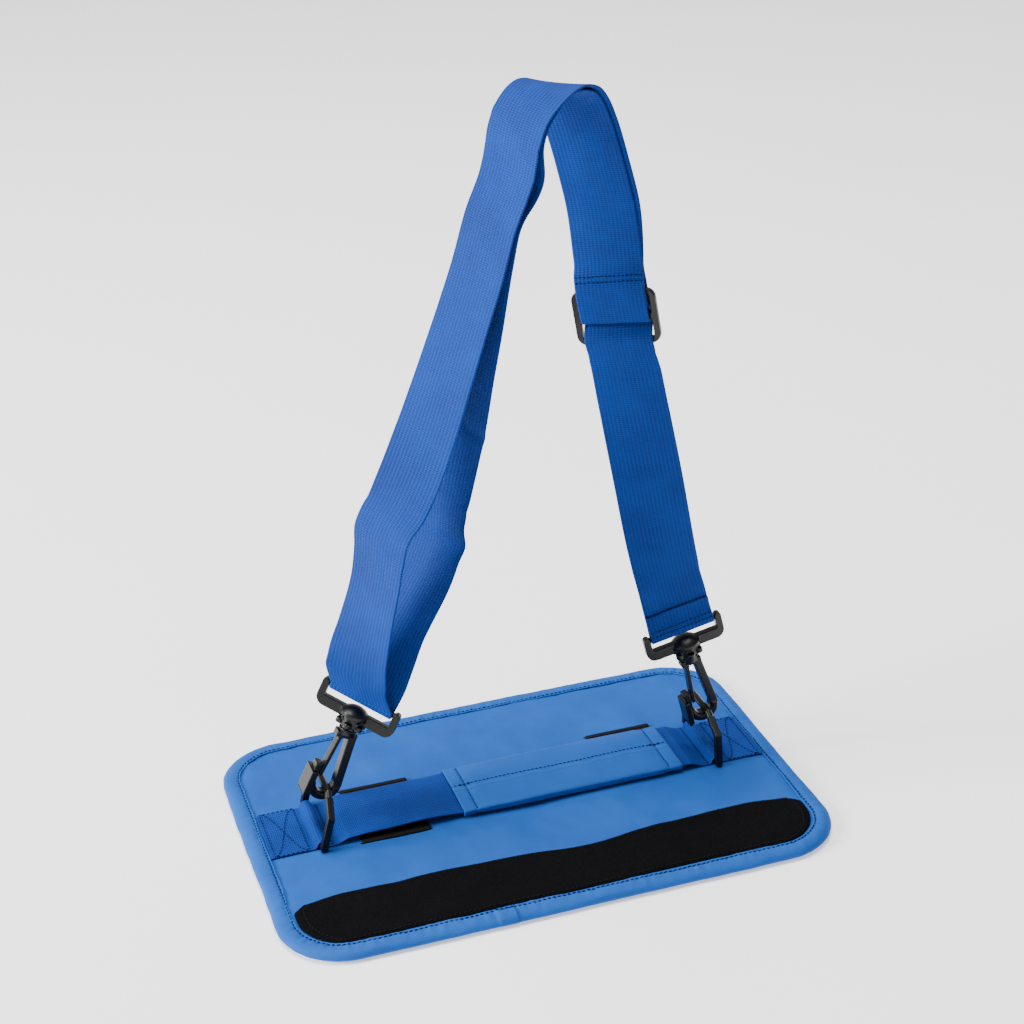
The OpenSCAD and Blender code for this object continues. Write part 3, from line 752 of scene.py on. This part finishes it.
def tape_seam(top):
    """The line of stitches round a closure strip, a little way in from its edge."""
    rows, cols = top.shape[:2]
    c, r = SEAM_COLUMN, SEAM_ROW
    loop = np.concatenate([
        top[r:rows - r, c], top[rows - r, c:cols - c], top[rows - r:r:-1, cols - 1 - c],
        top[r, cols - 1 - c:c:-1],
    ])
    return loop, upwards(loop)


stitches(
    "stitches_loop_tape", [tape_seam(loop_top)], BLACK_THREAD, "panel",
    pitch=3.0, length=2.3, radius=0.28, seed=6,
)


# ---------- cinch straps ----------

# How far a cinch strap stands up where it comes out of its back slit, and out of its front slit
BACK_RISE, FRONT_RISE = 0.8, 0.15
CINCH_ROCK = 0.06

for (side, (lo, hi)), (_, _, (back, front)) in zip(cinch_boxes.items(), SLITS):
    middle_x = (lo[0] + hi[0]) / 2
    # Heights of its middle line on the panel's face and under the panel
    top, low = FACE + CINCH_T / 2 + 0.05, CINCH_T / 2
    route = [
        (back - 33.2, low), (back - 20, low), (back - 4, low), (back - 0.9, low + 0.4),
        (back, low + 1.6), (back, FACE - 1), (back - 0.1, FACE + 0.6), (back - 1, top + BACK_RISE),
        (back - 3, top + BACK_RISE), (back - 6.5, top), (back - 30, top), (front + 22, top),
        (front + 9, top), (front + 4, top + 0.08), (front + 1.2, top + FRONT_RISE),
        (front + 0.1, FACE + 0.6), (front, FACE - 1), (front, low + 1.6), (front - 0.9, low + 0.4),
        (front - 4, low), (front - 20, low), (front - 33, low),
    ]
    rows = spline(np.array([(middle_x, y, z, 1, 0, 0) for y, z in route]), 1.0)
    rock = waves(51 if side == "left" else 52, 40)
    ribbon(
        "cinch_" + side, rows, hi[0] - lo[0], CINCH_T, CINCH, "panel",
        ["cinch_strap_" + side], lambda s, c: CINCH_ROCK * rock(s, c * 20), ragged=0.3, seed=7,
    )


# ---------- handle ----------

web_lo, web_hi = box_mm("handle_webbing")
grip_lo, grip_hi = box_mm("grip_cover")
HANDLE_Y = (web_lo[1] + web_hi[1]) / 2
HANDLE_W = web_hi[1] - web_lo[1]
HANDLE_Z = (grip_lo[2] + grip_hi[2]) / 2
WEB_T = 1.4
# Middle of each ring's bar, and radius of the webbing's middle line round it
RING_X, RING_Z = 130.5, 7.7
TUNNEL = 2.28 + WEB_T / 2
# Between these places the webbing rises from the panel to the grip's height
LIFT_START, LIFT_END = 123.5, 111.5
# The front edge's bow beside the sleeve: everywhere, more of it at its peak, and its flutter
BOW_ALL, BOW_MORE, BOW_FLUTTER = 0.7, 0.9, 0.25
BOW_PEAK, BOW_SPREAD = -62, 17
# Boxed X: inner and outer x, distance of its lines from the webbing's edges; and the bar's seam
BOX_IN, BOX_OUT, BOX_MARGIN = 138.8, 160.2, 2.6
BAR_SEAM = 124.2


def handle_side():
    """Middle line of the webbing's right half, from the sewn end inwards: x, z."""
    low = FACE + WEB_T / 2
    line = [(web_hi[0], low), (152, low), (142, low), (137.5, low), (134.9, low + 0.15)]
    for a in (18, 45, 72, 90, 108, 135, 162):
        turn = math.radians(a)
        line.append((RING_X + TUNNEL * math.cos(turn), RING_Z + TUNNEL * math.sin(turn)))
    line += [(126.3, low + 0.2), (124.6, low)]
    for k in range(1, 6):
        u = k / 5
        line.append((LIFT_START + (LIFT_END - LIFT_START) * u, low + (HANDLE_Z - low) * smooth(u)))
    return line


right_half = handle_side()
route = right_half + [(x, HANDLE_Z) for x in (95, 60, 30, 0, -30, -60, -95)]
route += [(-x, z) for x, z in reversed(right_half)]
rows = spline(np.array([(x, HANDLE_Y, z, 0, 1, 0) for x, z in route]), 1.2)
web_arc = arc_length(rows[:, :3])
web_x = rows[:, 0]
flutter = waves(61, 34)


def handle_lift(s, c):
    """The webbing's free stretches are not flat: the front edge rises and waves, the back sags."""
    x = np.interp(s, web_arc, web_x)
    left = smooth((x + 112) / 14) * smooth((-38 - x) / 14)
    right = smooth((112 - x) / 6) * smooth((x - 104) / 6)
    front = smooth(-c * 0.5 + 0.5)
    rise = BOW_ALL + BOW_MORE * bell(x, BOW_PEAK, BOW_SPREAD) + BOW_FLUTTER * flutter(x)
    bow = rise * front**1.5 - 0.35 * (1 - front)
    ends = smooth((np.abs(x) - 139) / 4)
    return -(left * bow + right * 0.3 * (front - 0.5)) - ends * 0.05 * flutter(x * 2, c * 24)


handle_top, handle_under = ribbon(
    "handle_strap", rows, HANDLE_W, WEB_T, WEBBING, "panel", ["handle_webbing"],
    handle_lift, ragged=0.35, seed=8,
)
handle_face = handle_top if handle_top.normals[5, 7, 2] > 0 else handle_under


def on_handle(places):
    """A thread path on the handle's top face through (x, distance across from the middle) points."""
    along, across = [], []
    for (x0, c0), (x1, c1) in zip(places, places[1:]):
        n = max(2, int(math.hypot(x1 - x0, c1 - c0) / 0.8))
        along += list(np.linspace(x0, x1, n, endpoint=False))
        across += list(np.linspace(c0, c1, n, endpoint=False))
    order = np.argsort(web_x)
    s = np.interp(along, web_x[order], web_arc[order])
    return handle_face.at(s, np.array(across) / (HANDLE_W / 2))


box_lines = []
for sign in (-1, 1):
    x0, x1, c = sign * BOX_IN, sign * BOX_OUT, HANDLE_W / 2 - BOX_MARGIN
    box_lines.append(on_handle([(x0, -c), (x1, -c), (x1, c), (x0, c), (x0, -c)]))
    box_lines.append(on_handle([(x0, -c), (x1, c)]))
    box_lines.append(on_handle([(x0, c), (x1, -c)]))
    box_lines.append(on_handle([(sign * BAR_SEAM, -c - 0.8), (sign * BAR_SEAM, c + 0.8)]))
stitches(
    "stitches_handle", box_lines, NAVY_THREAD, "panel", pitch=2.9, length=2.4, radius=0.36, seed=9
)


# ---------- grip sleeve ----------

GRIP_L = grip_hi[0] - grip_lo[0]
GRIP_HALF_W = (grip_hi[1] - grip_lo[1]) / 2
GRIP_HALF_T = (grip_hi[2] - grip_lo[2]) / 2
HEM = 8.6
GRIP_SKIN = 0.8
# How square the sleeve's section is: powers of the cosine across it and of the sine through it
ACROSS_POWER, THROUGH_POWER = 0.62, 0.36
# Thickness at the hems, as a share, and how much the hem's stitches pull in
HEM_SHARE, HEM_PULL, HEM_BULGE = 0.80, 0.13, 0.03
# The seam along the top: groove and fold beside it, by distance from the middle
GROOVE, GROOVE_AT, GROOVE_SPREAD = 0.55, -1.2, 0.55
FOLD, FOLD_AT, FOLD_SPREAD = 0.30, 0.9, 1.3
# Distance of the seam's stitches behind the middle, and half length of a thread knot on them
SEAM_BACK = 2.6
KNOT_HALF = 4.5
# Half width and half height of the padding's bore
BORE = (24.3, 1.0)
grip_slow = waves(71, 42)
grip_quick = waves(72, 15)


def grip_surface(along, around, shrink):
    """Places on the sleeve: along in mm from its left end, around as an angle from the front edge."""
    s, a = along[:, None], around[None, :]
    c, z = -np.cos(a), np.sin(a)
    y = np.sign(c) * np.abs(c) ** ACROSS_POWER
    up = np.sign(z) * np.abs(z) ** THROUGH_POWER
    end = np.minimum(s, GRIP_L - s)
    plump = HEM_SHARE + (1 - HEM_SHARE) * smooth((end - HEM) / 7)
    plump = plump - HEM_PULL * bell(end, HEM, 1.0) + HEM_BULGE * bell(end, HEM / 2, 3.5)
    half_t = (GRIP_HALF_T - shrink) * plump
    fold = 0.10 * grip_slow(s, a * 24) + 0.07 * grip_quick(s, a * 24) * bell(end, HEM, 10)
    middle = y * GRIP_HALF_W
    seam = FOLD * bell(middle, FOLD_AT, FOLD_SPREAD) - GROOVE * bell(middle, GROOVE_AT, GROOVE_SPREAD)
    seam = seam * smooth(z * 4) * (1 if shrink == 0 else 0)
    half_w = (GRIP_HALF_W - shrink) * (1 - 0.012 * bell(end, HEM, 3))
    half_w = half_w + 0.18 * grip_slow(s * 1.3, a * 3)
    place = np.zeros((len(along), len(around), 3))
    place[..., 0] = grip_lo[0] + s + 0 * a
    place[..., 1] = HANDLE_Y + y * half_w
    height = HANDLE_Z + up * half_t * (1 + fold) + seam
    place[..., 2] = np.maximum(height, grip_lo[2] + shrink)
    return place


# Places along the sleeve, closer together at the hems
near_hem = np.linspace(HEM - 2, HEM + 2, 9)
steps = np.unique(np.concatenate([np.linspace(0, GRIP_L, 120), near_hem, GRIP_L - near_hem]))
angles = np.linspace(0, 2 * math.pi, 181)[:-1]
outer = grip_surface(steps, angles, 0)
inner = grip_surface(steps, angles, GRIP_SKIN)
left_end, right_end = (
    outer[end] * 0.5 + inner[end] * 0.5 + [0.35 * sign, 0, 0] for end, sign in ((0, -1), (-1, 1))
)
loops = [*outer, right_end, *inner[::-1], left_end]
verts = np.array(loops).reshape(-1, 3)
grip_uv = np.zeros((len(verts), 2))
grip_uv[:, 0] = verts[:, 0]
grip_uv[:, 1] = np.tile(GRIP_HALF_W * 2.2 * np.abs(angles / math.pi - 1), len(loops))
sleeve = mesh_piece(
    "grip_sleeve", verts, tube_faces(len(loops), len(angles), turned_in=True), TAPE, "grip",
    grip_uv, ["grip_cover"],
)
pad_outer = grip_surface(steps[::3], angles[::3], GRIP_SKIN + 0.15)
pad_inner = pad_outer.copy()
pad_inner[..., 1] = HANDLE_Y + np.clip((pad_outer[..., 1] - HANDLE_Y) * 1.2, -BORE[0], BORE[0])
pad_inner[..., 2] = HANDLE_Z + np.clip(pad_outer[..., 2] - HANDLE_Z, -BORE[1], BORE[1])
pad_loops = [*pad_outer[1:-1], *pad_inner[1:-1][::-1]]
pad = mesh_piece(
    "grip_padding", np.array(pad_loops).reshape(-1, 3),
    tube_faces(len(pad_loops), len(angles[::3]), turned_in=True), FOAM, "grip",
    replaces=["grip_foam"],
)

# Hem stitches over the sleeve, the stitched edge of its lengthwise seam, and knots where they meet
grip_lines = []
for s in (HEM, GRIP_L - HEM):
    ring_angles = np.linspace(0.35, math.pi - 0.35, 90)
    p = grip_surface(np.array([s, s + 0.01]), ring_angles, 0)[0]
    n = unit(np.cross(np.gradient(p, axis=0), np.tile([1.0, 0, 0], (len(p), 1))))
    n = np.where(n[:, 2:3] < 0, -n, n)
    grip_lines.append((p, n))
seam_line = grip_surface(np.linspace(1, GRIP_L - 1, 140), np.array([1.62]), 0)[:, 0]
seam_line[:, 1] = HANDLE_Y + SEAM_BACK
grip_lines.append((seam_line, upwards(seam_line)))
for s in (HEM, GRIP_L - HEM):
    near = seam_line[np.abs(seam_line[:, 0] - grip_lo[0] - s) < KNOT_HALF]
    for aside in (-0.6, 0.6):
        grip_lines.append((near + [0, aside, 0.05], upwards(near)))
stitches(
    "stitches_grip", grip_lines, NAVY_THREAD, "grip", pitch=2.7, length=2.2, radius=0.34, seed=10
)


# ---------- shoulder strap ----------

# Route of the strap: x, y, z, heading of its width in degrees, and rise of its front edge.
# Outer and inner layer from the left loop to the top, both over the top, single from the adjuster
OUTER = [
    [-97, 11, 104, -38, -0.3], [-95, 9, 120, -50, -0.16], [-91.5, 7, 135, -58, -0.06],
    [-88, 5, 150, -62, 0], [-84.5, 4, 164, -64, 0], [-82, 3, 176, -64, 0], [-80, 2, 190, -63, 0],
    [-78.5, 2, 201, -60, 0], [-74, 2, 210, -56, 0], [-66.5, 2.5, 220, -51, 0],
    [-57.5, 3, 237, -50, 0], [-49.5, 3.5, 255, -52, 0], [-42, 4, 273, -55, 0],
    [-32, 5, 298, -59, 0], [-22, 5.5, 324, -62, 0], [-11, 6, 353, -64, 0], [-1.8, 5.8, 382, -65, 0],
]
INNER = [
    [-82, 17, 104, -40, -0.3], [-73, 21, 118, -49, -0.15], [-65, 23, 131, -56, -0.05],
    [-57, 22.5, 144, -60, 0], [-49, 22.5, 157, -62, 0], [-42.5, 23, 170, -63, 0],
    [-38, 24, 184, -63, 0], [-36, 25, 196, -61, 0], [-34.5, 25, 208, -55, 0],
    [-31.5, 24, 224, -51, 0], [-27, 21, 245, -52, 0], [-23, 17, 265, -55, 0],
    [-18, 13, 292, -59, 0], [-12, 10.5, 320, -62, 0], [-6, 8.5, 351, -64, 0], [0.8, 6.8, 382, -65, 0],
]
TOP = [
    [6, 5.5, 398, -65, 0], [10.5, 5, 412, -65, 0], [13.5, 4.5, 427, -64, 0], [19, 5, 440, -62, 0],
    [28, 8.5, 449, -56, 0], [38, 14, 451.5, -50, 0], [48, 19, 446, -46, 0], [56.5, 23, 429, -43, 0],
    [65, 26, 402, -42, 0], [72, 27, 372, -41, 0], [75, 25, 340, -40, 0],
]
SINGLE = [
    [84, 21, 272, -33, 0], [90, 19, 236, -27, 0], [96, 17, 200, -20, 0], [102, 15, 162, -10, 0],
    [108, 13, 130, 0, 0],
]
LAYER_GAP = 2.2
# Rows of the top over which the outer layer lies a little to the side of the inner one, and how far
ASIDE_ROWS = (3, 6, 9, 10)
ASIDE = (0, 3.2, 2.4, 0)
GLIDE = np.array([78.5, 23, 308.0])
GLIDE_HEADING = -38
# Paths at the adjuster: distance down along the strap from its middle, and out from its plane.
# The sewn end's loop round the middle bar, and the strap threaded over the outer bars
SEWN_END = [
    (-27, 0.6), (-21, 2.2), (-17, 2.6), (-13, 2.6), (-8.5, 2.2), (-5, -0.2), (-3.2, -2.3),
    (-0.5, -3.2), (2.6, -2.7), (3.4, 0), (2.6, 2.6), (0, 3.5), (-7, 4.3), (-13, 4.4), (-17, 4.35),
    (-21, 3.9), (-27, 2.4),
]
THREADED = [
    (-20, -2.5), (-15, -2.8), (-8, -3.8), (-2, -4.8), (2, -4.7), (5, -2.6), (9, 0.6), (12.5, 2.6),
    (16, 2.8), (20, 1.8), (26, 0.3),
]
BAR_ABOVE_SWIVEL = 15.0
BAR_WRAP = 2.65


def across(run, a):
    """The level direction at heading a, in degrees, turned square to the strap's run."""
    level = np.array([math.cos(math.radians(a)), math.sin(math.radians(a)), 0])
    return unit(level - (level @ run) * run)


def width_rows(rows):
    """(place, width direction) of each row of x, y, z, heading, rise."""
    rows = np.asarray(rows, float)
    run = unit(rows[np.minimum(np.arange(len(rows)) + 1, len(rows) - 1), :3]
               - rows[np.maximum(np.arange(len(rows)) - 1, 0), :3])
    wide = [unit(across(r, row[3]) + np.array([0, 0, row[4]])) for r, row in zip(run, rows)]
    return np.column_stack([rows[:, :3], wide]), run


def layer(low, side):
    """One of the strap's two layers, from the left loop up and over to the adjuster."""
    rows, run = width_rows(TOP)
    top = np.array(TOP, float)
    top[:, :3] += side * LAYER_GAP / 2 * np.cross(run, rows[:, 3:6])
    if side < 0:
        aside = np.interp(np.arange(len(top)), ASIDE_ROWS, ASIDE)
        top[:, :3] += aside[:, None] * rows[:, 3:6]
    fine = spline(np.concatenate([low, top]), 12.0)
    return width_rows(fine)[0]


def bar_of(joint):
    """Middle of a strap loop's bar and the way up its swivel, from the swivel joint."""
    found = next(j for j in frame["joints"] if j["name"] == joint)
    u = unit(found["axis"])
    return np.array(found["pos_m"]) / MM + BAR_ABOVE_SWIVEL * u, u


def bar_direction(node, u, bar):
    """Direction of a strap loop's long side, square to its swivel axis."""
    co = np.array([v.co for v in frame["nodes"][node].data.vertices], float) / MM
    low = co[(co - bar) @ u < 1.0] - bar
    flat = low - np.outer(low @ u, u)
    w = np.linalg.eigh(flat.T @ flat)[1][:, -1]
    return w if w[0] > 0 else -w


def arc_rows(centre, u, n, w, start, end, steps):
    """The strap round a loop's bar, in the plane of u and n, from start to end in degrees."""
    a = np.radians(np.linspace(start, end, steps + 1))[:, None]
    places = centre + BAR_WRAP * (np.cos(a) * n + np.sin(a) * u)
    return np.column_stack([places, np.tile(w, (steps + 1, 1))])


bar_left, left_u = bar_of("swivel_left")
bar_right, right_u = bar_of("swivel_right")
left_w = bar_direction("swivel_loop_left", left_u, bar_left)
right_w = bar_direction("swivel_loop_right", right_u, bar_right)
right_n = np.cross(right_w, -right_u)
glide_run = unit(np.array(SINGLE[0][:3], float) - np.array(TOP[-1][:3], float))
glide_w = across(glide_run, GLIDE_HEADING)
glide_n = np.cross(glide_run, glide_w)


def glide_rows(path):
    """Rows of the strap at the adjuster, along a path in its plane."""
    places = [GLIDE + down * glide_run + out * glide_n for down, out in path]
    return np.array([np.concatenate([place, glide_w]) for place in places])


def right_row(up_bar, out):
    """A row near the right loop's bar: distance up from the bar, and out from its plane."""
    return np.concatenate([bar_right + up_bar * right_u + out * right_n, right_w])


single = width_rows(spline(SINGLE, 12.0))[0]
STRAP = np.concatenate([
    glide_rows(SEWN_END),
    layer(INNER, 1)[::-1],
    arc_rows(bar_left, -left_u, np.cross(left_u, left_w), left_w, -10, 200, 7),
    layer(OUTER, -1),
    glide_rows(THREADED),
    single,
    [right_row(22, 0.9), right_row(10, 1.4), right_row(4, 2.3)],
    arc_rows(bar_right, -right_u, right_n, right_w, 0, 180, 6),
    [right_row(4, -2.2), right_row(10, -0.5), right_row(16.5, -0.7)],
])
strap_rows = spline(STRAP, 1.5)
strap_arc = arc_length(strap_rows[:, :3])
STRAP_W = 42.5


def strap_at(point, after=0.0, before=1e9):
    """Arc length of the strap nearest to a point."""
    reach = np.linalg.norm(strap_rows[:, :3] - np.array(point), axis=1)
    reach = np.where((strap_arc >= after) & (strap_arc <= before), reach, 1e9)
    return strap_arc[int(np.argmin(reach))]


at_left = strap_at(bar_left - BAR_WRAP * left_u)
# Creases of the webbing: arc length, slant along the strap per half width, depth, width, and how
# much deeper it is towards the front edge
CREASES = [
    (strap_at((-77, 2, 205), at_left), 7.0, 1.5, 8.0, 0.9),
    (strap_at((-38, 24, 183), 0, at_left), 2.0, -3.2, 6.5, 0.95),
    (strap_at((-35, 24.5, 206), 0, at_left), 3.0, 0.9, 4.0, 0.9),
    (strap_at((-24, 18, 262), 0, at_left), -3.0, -0.9, 4.0, 0.9),
    (strap_at((8, 5.5, 405), 0, at_left), 3.0, -6.0, 15.0, 0.7),
    (strap_at((15, 4.5, 431), at_left), 6.0, -0.5, 2.2, 0.0),
    (strap_at((11, 5, 415), at_left), 5.0, 0.4, 5.0, 0.3),
    (strap_at((83, 21, 283), at_left), 2.0, 0.6, 2.0, 0.0),
    (strap_at((87, 20, 254), at_left), -2.0, 0.5, 6.0, 0.6),
    (strap_at((105, 14, 146), at_left), 3.0, -0.5, 5.0, -0.6),
]
STRAP_WAVE, STRAP_RIPPLE = 0.16, 0.05
strap_wave = waves(81, 110)
strap_ripple = waves(82, 30)


def strap_lift(s, c):
    """How far the strap stands off its route, at an arc length and a place across it."""
    moved = STRAP_WAVE * strap_wave(s, c * 20) + STRAP_RIPPLE * strap_ripple(s, c * 20)
    for where, slant, depth, wide, lean in CREASES:
        share = 0.5 + 0.5 * (1 - abs(lean)) + 0.5 * lean * c
        moved = moved + depth * share * bell(s + slant * c, where, wide)
    return moved


strap_top, strap_under = ribbon(
    "strap_webbing", strap_rows, STRAP_W, WEB_T, WEBBING, "strap", ["shoulder_strap"],
    strap_lift, ragged=0.3, seed=12,
)
SEAM_REACH = 0.92


def across_strap(face, s):
    """A seam straight across the strap, as far as a share of its half width."""
    c = np.linspace(-SEAM_REACH, SEAM_REACH, 60)
    return face.at(s + 0 * c, c)


# Two seams near the right hook, where the end is folded back, and two above the adjuster
end_s = strap_arc[-1]
sewn = strap_at(GLIDE - 25 * glide_run + 2.9 * glide_n, 30.0)
strap_lines = []
for s in (end_s - 4.0, end_s - 7.0, sewn, sewn + 3.4):
    strap_lines += [across_strap(strap_top, s), across_strap(strap_under, s)]
stitches(
    "stitches_strap", strap_lines, NAVY_THREAD, "strap", pitch=2.6, length=2.2, radius=0.36, seed=13
)


# ---------- moulded parts ----------

# Size of the even mesh that rounds each part's edges, in mm: smaller on the finer parts
HARD = {
    "ring_left": 0.32, "ring_right": 0.32, "hook_left": 0.3, "hook_right": 0.3, "gate_left": 0.25,
    "gate_right": 0.25, "swivel_loop_left": 0.3, "swivel_loop_right": 0.3, "tri_glide": 0.32,
}
ROUND_FACTOR, ROUND_PASSES = 0.5, 6
for name, voxel in HARD.items():
    obj = frame["nodes"][name]
    obj.data.materials.clear()
    obj.data.materials.append(BLACK)
    remesh = obj.modifiers.new("even", "REMESH")
    remesh.mode = "VOXEL"
    remesh.voxel_size = voxel * MM
    remesh.use_smooth_shade = True
    round_off = obj.modifiers.new("rounded", "SMOOTH")
    round_off.factor = ROUND_FACTOR
    round_off.iterations = ROUND_PASSES


# ---------- stage, light and camera ----------

# Lengths in this section are metres. The floor lies just under the panel
FLOOR_HALF, FLOOR_Z = 4.5, -0.0004
floor_corners = [
    (x * FLOOR_HALF, y * FLOOR_HALF, FLOOR_Z) for x, y in ((-1, -1), (1, -1), (1, 1), (-1, 1))
]
mesh = bpy.data.meshes.new("floor")
mesh.from_pydata(floor_corners, [], [(0, 1, 2, 3)])
mesh.materials.append(floor_paper("floor_paper"))
floor = bpy.data.objects.new("floor", mesh)
bpy.context.scene.collection.objects.link(floor)

world = bpy.data.worlds.new("studio")
bpy.context.scene.world = world
world.use_nodes = True
background = world.node_tree.nodes["Background"]
background.inputs["Color"].default_value = (1, 1, 1, 1)
background.inputs["Strength"].default_value = 0.42

CENTRE = Vector((0, 0, 0.15))


def softbox(name, place, size, power):
    """A square soft light that faces the object."""
    light = bpy.data.lights.new(name, "AREA")
    light.shape = "SQUARE"
    light.size = size
    light.energy = power
    obj = bpy.data.objects.new(name, light)
    obj.location = place
    obj.rotation_mode = "QUATERNION"
    obj.rotation_quaternion = (CENTRE - Vector(place)).to_track_quat("-Z", "Y")
    bpy.context.scene.collection.objects.link(obj)


softbox("key", (-3.2, 0.2, 1.5), size=1.2, power=230)
softbox("top", (-0.2, 0.5, 3.2), size=2.0, power=150)

camera_data = bpy.data.cameras.new("camera")
camera_data.sensor_width = 36
# Focal length in mm, fitted to the photo with the camera's place and axes
camera_data.lens = 70.97
camera_data.clip_start = 0.05
camera_data.clip_end = 50
camera = bpy.data.objects.new("camera", camera_data)
bpy.context.scene.collection.objects.link(camera)
EYE = (-0.3189, -1.0271, 0.7210)
RIGHT = Vector((0.94873, -0.31418, -0.03463))
UP = Vector((0.16578, 0.40130, 0.90082))
FORWARD = Vector((0.26913, 0.86038, -0.43281))
turned = Matrix((RIGHT, UP, -FORWARD)).transposed().to_4x4()
camera.matrix_world = Matrix.Translation(EYE) @ turned
bpy.context.scene.camera = camera
